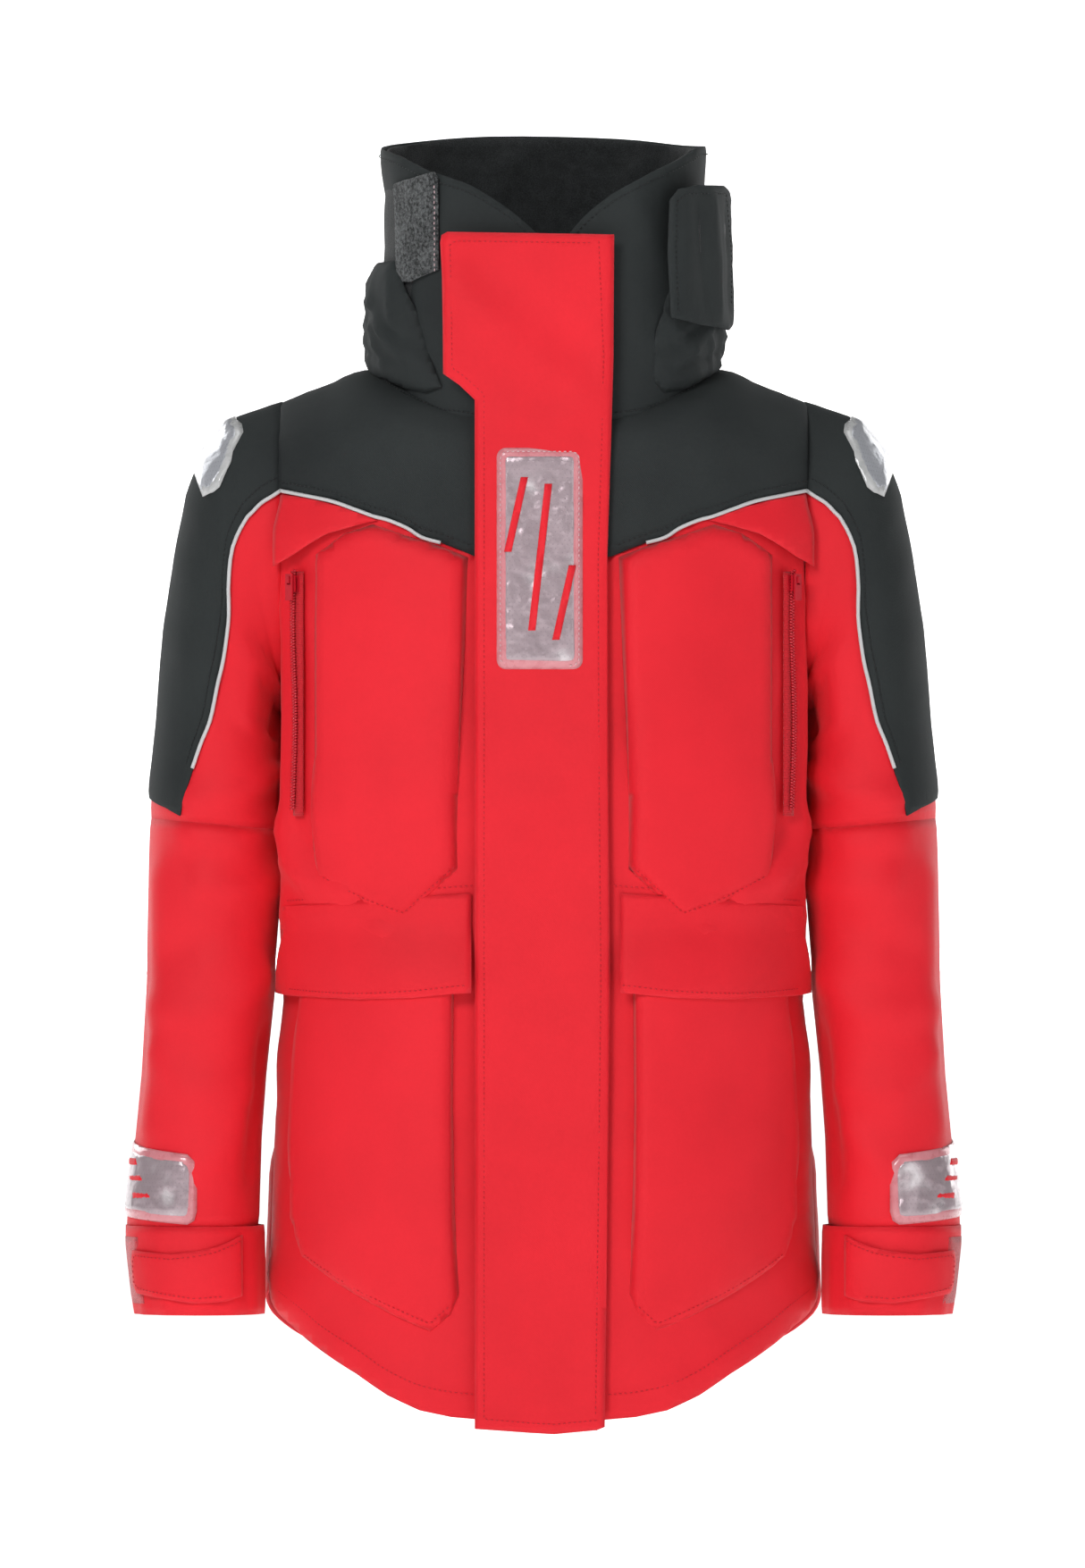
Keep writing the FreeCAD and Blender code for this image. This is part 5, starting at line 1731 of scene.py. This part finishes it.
@dataclass
class Sleeve(SubAssembly):
    """One sleeve: red cloth, dark overlay, piping, reflectors, cuff and tab."""

    side: Side = Side.LEFT
    split: float = 0.352
    cuff: float = 0.6595
    end: float = 0.7265
    seam: tuple[Pair, ...] = ((197.4, -99), (205, -104), (213, -109), (223, -119), (231, -134),
                              (236.5, -160),
                              (237, -180), (237.5, -200), (241, -226), (246, -249), (251, -273),
                              (258, -291),
                              (263.5, -308))
    tip: tuple[Pair, ...] = ((264, -309), (273, -344), (284, -338), (296, -331))

    @property
    def chart(self) -> SleeveChart:
        """The sleeve's surface."""
        return SLEEVES[self.side]

    def name(self, word: str) -> str:
        """A piece's name on this side."""
        return f"{word}_{self.side.word}"

    def seen(self, points: Sequence[Pair]) -> list[Pair]:
        """Turns x and z in millimetres, seen from the front on the left side, into pattern points."""
        return [self.chart.locate(x, z) for x, z in mm(points)]

    def folds(self) -> tuple[Fold, ...]:
        """The sleeve's folds, drawn at the elbow, the armhole and above the cuff."""
        drawn = (
            (((0.150, 0.06), (0.120, 0.13), (0.118, 0.22)), 2.4, 12), (((0.172, 0.10), (0.160, 0.20)), -2.6,
                                                                       10),
            (((0.165, 0.27), (0.120, 0.315), (0.075, 0.335)), 2.6, 13),
            (((0.160, 0.345), (0.115, 0.365), (0.070, 0.362)), 2.4, 12),
            (((0.168, 0.400), (0.120, 0.408), (0.085, 0.400)), 2.6, 13),
            (((0.120, 0.43), (0.060, 0.455)), -1.8, 13), (((0.150, 0.47), (0.105, 0.500), (0.040, 0.495)),
                                                          2.2, 14),
            (((0.050, 0.53), (0.085, 0.560), (0.140, 0.556)), 1.9, 13),
            (((0.040, 0.40), (0.050, 0.50), (0.045, 0.58)), 2.4, 16),
            (((0.130, 0.585), (0.095, 0.620)), 1.6, 11), (((0.160, 0.52), (0.150, 0.62)), -2.0, 12),
            (((0.260, 0.30), (0.300, 0.35)), 3.0, 16), (((0.290, 0.39), (0.330, 0.42)), 3.0, 15),
            (((0.240, 0.46), (0.300, 0.50)), 2.6, 18), (((0.250, 0.10), (0.270, 0.24)), 2.4, 20))
        wrap = 2 * self.chart.girth
        made = []
        for line, height, width in drawn:
            for turn in (0.0, -wrap):
                made.append(Fold(tuple((u + turn, v) for u, v in line), 2.1 * height * MM, width * MM))
        return tuple(made)

    def drape(self, lift: float, **changes: Any) -> Drape:
        """How any layer of this sleeve lies."""
        def flat_inside(u: float, v: float) -> float:
            return -3.5 * MM * ease(1.3 - abs(abs(u) - self.chart.girth) / 0.05) * ease((v - 0.40) / 0.07)

        settings = {"uneven": 1.6 * MM, "grain": 0.08, "folds": self.folds(), "ripple": 0.3 * MM,
                    "shape": flat_inside, **changes}
        return Drape(lift=lift, **settings)

    def tube(self, name: str, top: float, bottom: float, drape: Drape, finish: str, thickness: float,
             step: float = 0.008) -> bpy.types.Object:
        """A closed tube of cloth round the arm."""
        wrap = 2 * self.chart.girth
        outline = [(0, top), (wrap, top), (wrap, bottom), (0, bottom)]
        mesh = flat_shape(outline, (), step)
        layer = mesh.verts.layers.float["edge"]
        for vert in mesh.verts:
            vert[layer] = min(vert.co.y - top, bottom - vert.co.y)
        seam = [vert for vert in mesh.verts if vert.co.x < 1e-5 or vert.co.x > wrap - 1e-5]
        steady = replace(drape, uneven=0.0)
        lay(mesh, self.chart, steady, 3.0)
        for vert in mesh.verts:
            place = vert.co / 0.055
            swell = noise.noise(place) * drape.uneven * ease(vert[layer] / 0.02)
            core = Vector((vert.co.x, self.chart.middle, vert.co.z))
            vert.co += (vert.co - core).normalized() * swell if (vert.co - core).length > 1e-6 else Vector()
        bmesh.ops.remove_doubles(mesh, verts=seam, dist=0.0012)
        outward(mesh, self.chart)
        piece = new_object(name, mesh, self.wardrobe[finish])
        thicken(piece, thickness)
        return piece

    def build(self) -> None:
        """Builds the sleeve."""
        upper, lower = f"sleeve_upper_{self.side.word}", f"sleeve_lower_{self.side.word}"
        piece = self.tube(self.name("sleeve_upper_cloth"), 0.0005, self.split, self.drape(-0.6 * MM),
                          "red_cloth",
                          1.2 * MM)
        self.dress(piece, upper, "red_cloth", upper)
        piece = self.tube(self.name("sleeve_lower_cloth"), self.split, self.cuff, self.drape(-0.6 * MM),
                          "red_cloth", 1.2 * MM)
        start = Vector((self.side.value * 0.25, TORSO.middle, -0.356))
        end = Vector((self.side.value * 0.255, TORSO.middle, -0.452))
        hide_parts(lower)
        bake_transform(piece, upper, lower, start=tuple(start), end=tuple(end))
        self.gusset(upper)
        self.overlay(upper)
        self.shoulder_patch(upper)
        self.cuff_patch(lower)
        self.cuff_band(lower)
        self.cuff_tab()
        self.seal(lower)

    def gusset(self, body: str) -> None:
        """The cloth between the armhole and the sleeve, folded flat until the arm lifts."""
        near, far, count = 0.1950, 0.2005, 14
        middle, half_deep, half_high, tuck_share = -0.146, 0.067, 0.104, 0.05
        turns = [math.tau * i / 48 for i in range(48)]
        rings = []
        for step in range(count + 1):
            x = self.side.value * (near + (far - near) * step / count)
            tuck = 1 - tuck_share * math.sin(math.pi * step / count)
            rings.append([Vector((x, TORSO.middle + half_deep * tuck * math.cos(turn),
                                  middle + half_high * tuck * math.sin(turn))) for turn in turns])
        piece = ring_tube(self.name("armhole_gusset_cloth"), rings, self.wardrobe["red_cloth"])
        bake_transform(piece, TORSO_BODY, body, start=(self.side.value * 0.1955, TORSO.middle, middle),
                 end=(self.side.value * 0.2000, TORSO.middle, middle))

    def overlay(self, body: str) -> None:
        """The dark overlay down the outside, and the piping along its front edge."""
        front = curve_through(self.seen(self.seam), 3)
        back = [(-u * 0.92, v) for u, v in reversed(front)]
        tip = self.seen(self.tip)
        outline = [*front, *tip[1:3], (0.012, tip[3][1]), (-0.02, tip[3][1] - 0.004),
                   (-tip[1][0], tip[1][1]), *back]
        self.sewn(self.name("sleeve_overlay_cloth"), self.chart, outline, self.drape(1.9 * MM), body,
                  "dark_cloth", f"sleeve_overlay_{self.side.word}", thickness=1.6 * MM, step=0.008, seed=3)
        drape = self.drape(2.2 * MM, curl=0.0)
        run = [self.chart.lifted(u, v, drape.rise(u, v, 0.0, 3)) for u, v in front]
        piece = cordage(self.name("sleeve_piping_cord"), [run], 1.5 * MM, self.wardrobe["piping"])
        self.dress(piece, body, "piping", f"sleeve_piping_{self.side.word}")
        self.needle.sew(body, "thread_dark", self.chart, [(u - 0.007, v) for u, v in front[2:]],
                        lambda u, v: drape.rise(u, v, 0.007, 3) + 0.1 * MM)

    def shoulder_patch(self, body: str) -> None:
        """The silver reflector over the point of the shoulder."""
        front = self.seen(((231, -47), (227, -50), (226, -56), (234, -77), (243, -97), (248, -101),
                           (255, -104)))
        shear = [(-0.016, front[0][1]), *front, (-0.016, front[-1][1])]
        drape = self.drape(3.6 * MM, folds=(), bag=0.8 * MM, run=0.003, ripple=0.0, uneven=0.2 * MM)
        self.sewn(self.name("shoulder_reflector_border"), self.chart, shear, drape, body, "reflector",
                  f"shoulder_reflector_{self.side.word}", finish="vinyl_clear", thickness=1.0 * MM,
                  step=0.005, seed=3)
        front = self.seen(((234, -51), (231, -54), (230, -58), (237, -76), (246, -94), (250, -97.5),
                           (256, -99)))
        drape = self.drape(4.4 * MM, folds=(), bag=0.5 * MM, run=0.004, ripple=0.0, uneven=0.5 * MM,
                           grain=0.02)
        self.sewn(self.name("shoulder_reflector_film"), self.chart,
                  [(-0.012, front[0][1]), *front, (-0.012, front[-1][1])], drape, body, "reflector",
                  finish="reflector_silver", thickness=0.5 * MM, step=0.003, seed=5)

    def cuff_patch(self, body: str) -> None:
        """The reflector above the cuff."""
        shape = self.seen(((268, -599), (262, -605), (261, -612), (261, -642), (263, -649), (268, -652)))
        shape = [(-0.020, 0.594), *shape, (-0.020, 0.650)]
        drape = self.drape(1.2 * MM, bag=0.7 * MM, run=0.003, ripple=0.0, uneven=0.5 * MM, folds=())
        self.sewn(self.name("cuff_reflector_border"), self.chart, shape, drape, body, "reflector",
                  f"cuff_reflector_{self.side.word}", finish="vinyl_red", thickness=1.0 * MM, step=0.005,
                  seed=3)
        inner = self.seen(((271, -604), (267, -608), (266, -614), (266, -639), (268, -645), (272, -647)))
        inner = [(-0.016, 0.599), *inner, (-0.016, 0.645)]
        drape = self.drape(2.0 * MM, bag=0.5 * MM, run=0.003, ripple=0.0, uneven=0.6 * MM, folds=(),
                           grain=0.02)
        self.sewn(self.name("cuff_reflector_film"), self.chart, inner, drape, body, "reflector",
                  thickness=0.5 * MM, step=0.003, seed=5)
        for number in range(3):
            v = 0.609 + number * 0.0125
            shift = number * 0.012
            bar = [(0.004 + shift, v), (0.030 + shift, v), (0.034 + shift, v + 0.005), (0.008 + shift, v + 0.005)]
            self.sewn(self.name(f"cuff_reflector_bar_{number}"), self.chart, bar,
                      self.drape(3.0 * MM, uneven=0.3 * MM, folds=(), ripple=0.0), body, "red_cloth",
                      thickness=0.4 * MM, step=0.006, rims=(), seed=3)

    def cuff_band(self, body: str) -> None:
        """The cuff and the loop patch on its outside."""
        def gather(u: float, v: float) -> float:
            return 0.7 * MM * math.sin(u * 210) * ease((v - self.cuff) / 0.03)

        drape = self.drape(0.3 * MM, shape=gather, folds=())
        piece = self.tube(self.name("cuff_band_cloth"), self.cuff, self.end, drape, "red_cloth", 2.0 * MM,
                          0.006)
        self.dress(piece, body, "red_cloth", f"cuff_band_{self.side.word}")
        patch = [(-0.042, 0.668), (0.040, 0.668), (0.040, 0.718), (-0.042, 0.718)]
        self.sewn(self.name("cuff_loop_pile"), self.chart, patch,
                  self.drape(1.3 * MM, folds=(), uneven=0.4 * MM, ripple=0.0), body, "loop_red",
                  f"cuff_loop_patch_{self.side.word}", thickness=1.0 * MM, step=0.006, seed=3)

    def cuff_tab(self) -> None:
        """The tab that tightens the cuff."""
        shape = self.seen(((228.5, -660), (236, -664), (248, -669), (262, -672), (280, -674)))
        foot = self.seen(((284, -708), (262, -711.5), (240, -710), (228.5, -706)))
        outline = [*shape, (0.034, 0.6775), (0.029, 0.684), (0.028, 0.704), (0.033, 0.710), *foot]
        drape = self.drape(3.9 * MM, folds=(), uneven=0.7 * MM, grain=0.04, curl=0.8 * MM)
        tab = f"cuff_tab_{self.side.word}"
        piece = self.sewn(self.name("cuff_tab_cloth"), self.chart, outline, drape, tab, "red_cloth", tab,
                          thickness=1.6 * MM, step=0.005, rims=(0.0012, 0.003), seed=3)
        self.name("cuff_loop_pile")
        inner = [(outline[0][0] - 0.005, outline[0][1] + 0.005)]
        inner += [(u - 0.001, v + 0.004) for u, v in outline[1:5]]
        inner += [(0.038, 0.6815), (0.034, 0.687), (0.033, 0.702), (0.038, 0.706)]
        inner += [(u - 0.001, v - 0.004) for u, v in outline[9:12]]
        self.needle.sew(tab, "thread_red", self.chart, inner, lambda u, v: 4.4 * MM)

    def seal(self, body: str) -> None:
        """The stretch seal inside the cuff."""
        rings = []
        for step in range(9):
            v = 0.640 + step * 0.0082
            outer_x, outer_z, inner_x, inner_z, _, forward = self.chart.row(v)
            centre = Vector((self.side.value * (outer_x + inner_x) / 2, self.chart.middle - forward,
                             (outer_z + inner_z) / 2))
            share = 0.90 - 0.010 * abs(step - 4) + 0.008 * (step % 2)
            rings.append([centre + (self.chart.point(i / 24 * 2 * self.chart.girth, v) - centre) * share
                          for i in range(24)])
        piece = ring_tube(self.name("cuff_seal_sleeve"), rings, self.wardrobe["seal_rubber"])
        thicken(piece, 1.2 * MM)
        self.dress(piece, body, "seal_rubber", f"cuff_seal_{self.side.word}")


# ------------------------------------------------------------------ the studio and the whole


@dataclass(frozen=True)
class Lamp:
    """A square soft light."""

    name: str
    place: tuple[float, float, float]
    aim: tuple[float, float, float]
    size: float
    power: float


@dataclass
class Studio:
    """A pale floor and backdrop, soft lights and a level camera in front."""

    distance: float = 12.0
    front: float = -0.190
    height: float = -0.320
    view_height: float = 1.176
    floor: float = -0.97
    seam: float = 0.9
    reach: float = 40.0
    far_height: float = 14.0
    floor_glow: float = 0.55
    sweep_glow: float = 0.85
    air: float = 0.17
    far_clip: float = 120.0
    lamps: tuple[Lamp, ...] = (
        Lamp("key", (-1.7, -4.4, 1.9), (0, -0.1, -0.3), 1.5, 112),
        Lamp("fill", (2.8, -3.9, 0.5), (0, 0, -0.3), 2.6, 20),
        Lamp("top", (0.0, -0.2, 3.4), (0, 0, -0.2), 2.2, 34),
        Lamp("back_left", (-3.4, 3.8, 1.6), (0, 0, -0.3), 2.6, 70),
        Lamp("back_right", (3.4, 3.8, 1.0), (0, 0, -0.3), 2.6, 50))

    def build(self) -> None:
        """Builds the studio."""
        self.backdrop()
        self.lights()
        self.camera()

    def backdrop(self) -> None:
        """The floor that sweeps up behind the jacket."""
        near = [(-self.reach, self.floor), (self.seam, self.floor)]
        far = [(self.seam, self.floor), (self.reach - 1.4, self.floor),
               (self.reach - 0.6, self.floor + 0.12),
               (self.reach - 0.1, self.floor + 0.7), (self.reach, self.floor + 1.5),
               (self.reach, self.far_height)]
        for name, path, glow in (("studio_floor", near, self.floor_glow),
                                 ("studio_sweep", curve_through(far, 8), self.sweep_glow)):
            mesh = bmesh.new()
            verts = [mesh.verts.new((-self.reach, y, z)) for y, z in path]
            edges = [mesh.edges.new(pair) for pair in zip(verts, verts[1:])]
            grown = bmesh.ops.extrude_edge_only(mesh, edges=edges)["geom"]
            bmesh.ops.translate(mesh, verts=[item for item in grown if isinstance
                                             (item, bmesh.types.BMVert)],
                                vec=(2 * self.reach, 0, 0))
            bmesh.ops.recalc_face_normals(mesh, faces=mesh.faces)
            mix = Recipe(f"{name}_paper")
            fade = mix.noise(1.5, 2)
            paper = mix.surface(Base_Color=mix.blend((0.90, 0.90, 0.90), (0.94, 0.94, 0.94), fade),
                                Roughness=0.9,
                                Emission_Color=(1.0, 1.0, 1.0, 1.0), Emission_Strength=glow)
            new_object(name, mesh, paper)

    def lights(self) -> None:
        """A broad key, a fill and a top light, and a pale world."""
        for lamp in self.lamps:
            data = bpy.data.lights.new(f"light_{lamp.name}", "AREA")
            data.shape, data.size, data.energy = "SQUARE", lamp.size, lamp.power
            light = bpy.data.objects.new(f"light_{lamp.name}", data)
            light.location = lamp.place
            light.rotation_euler = (Vector(lamp.aim) - Vector(lamp.place)).to_track_quat("-Z",
                                                                                         "Y").to_euler()
            bpy.context.scene.collection.objects.link(light)
        world = bpy.data.worlds.new("studio_air")
        world.use_nodes = True
        world.node_tree.nodes["Background"].inputs[0].default_value = (1.0, 1.0, 1.0, 1.0)
        world.node_tree.nodes["Background"].inputs[1].default_value = self.air
        bpy.context.scene.world = world
        bpy.context.scene.view_settings.view_transform = "Standard"

    def camera(self) -> None:
        """The level camera in front."""
        data = bpy.data.cameras.new("camera")
        data.sensor_fit, data.sensor_height, data.sensor_width = "VERTICAL", 36.0, 36.0
        data.lens = 36.0 * self.distance / self.view_height
        data.clip_end = self.far_clip
        camera = bpy.data.objects.new("camera", data)
        camera.location = (-0.0007, self.front - self.distance, self.height)
        camera.rotation_euler = (HALF_PI, 0.0, 0.0)
        bpy.context.scene.collection.objects.link(camera)
        bpy.context.scene.camera = camera


@dataclass
class Hardware(SubAssembly):
    """Sliders, pullers and the zip's box, which keep the frame's own shapes."""

    def build(self) -> None:
        """Gives each node a moulded finish."""
        names = ["main_zip_slider", "main_zip_puller", "main_zip_box"]
        names += [f"handwarmer_{word}_{side.word}" for word in ("slider", "puller") for side in Side]
        for name in names:
            for slot in bpy.data.objects[name].material_slots:
                slot.material = self.wardrobe["zip_plastic"]


def main() -> None:
    """Builds the jacket round the frame.
    """
    logging.basicConfig(level=logging.INFO, format="%(name)s: %(message)s")
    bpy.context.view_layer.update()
    wardrobe, needle = Wardrobe(), Seamstress()
    for part in (Trunk, StormFlap, Neck, Pockets, MainZip, Hardware):
        part(wardrobe, needle).build()
    for side in Side:
        Sleeve(wardrobe, needle, side=side).build()
    for piece, body in needle.finish_off(wardrobe.finishes):
        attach(piece, body)
    Studio().build()
    bpy.context.view_layer.update()


if __name__ == "__main__":
    main()
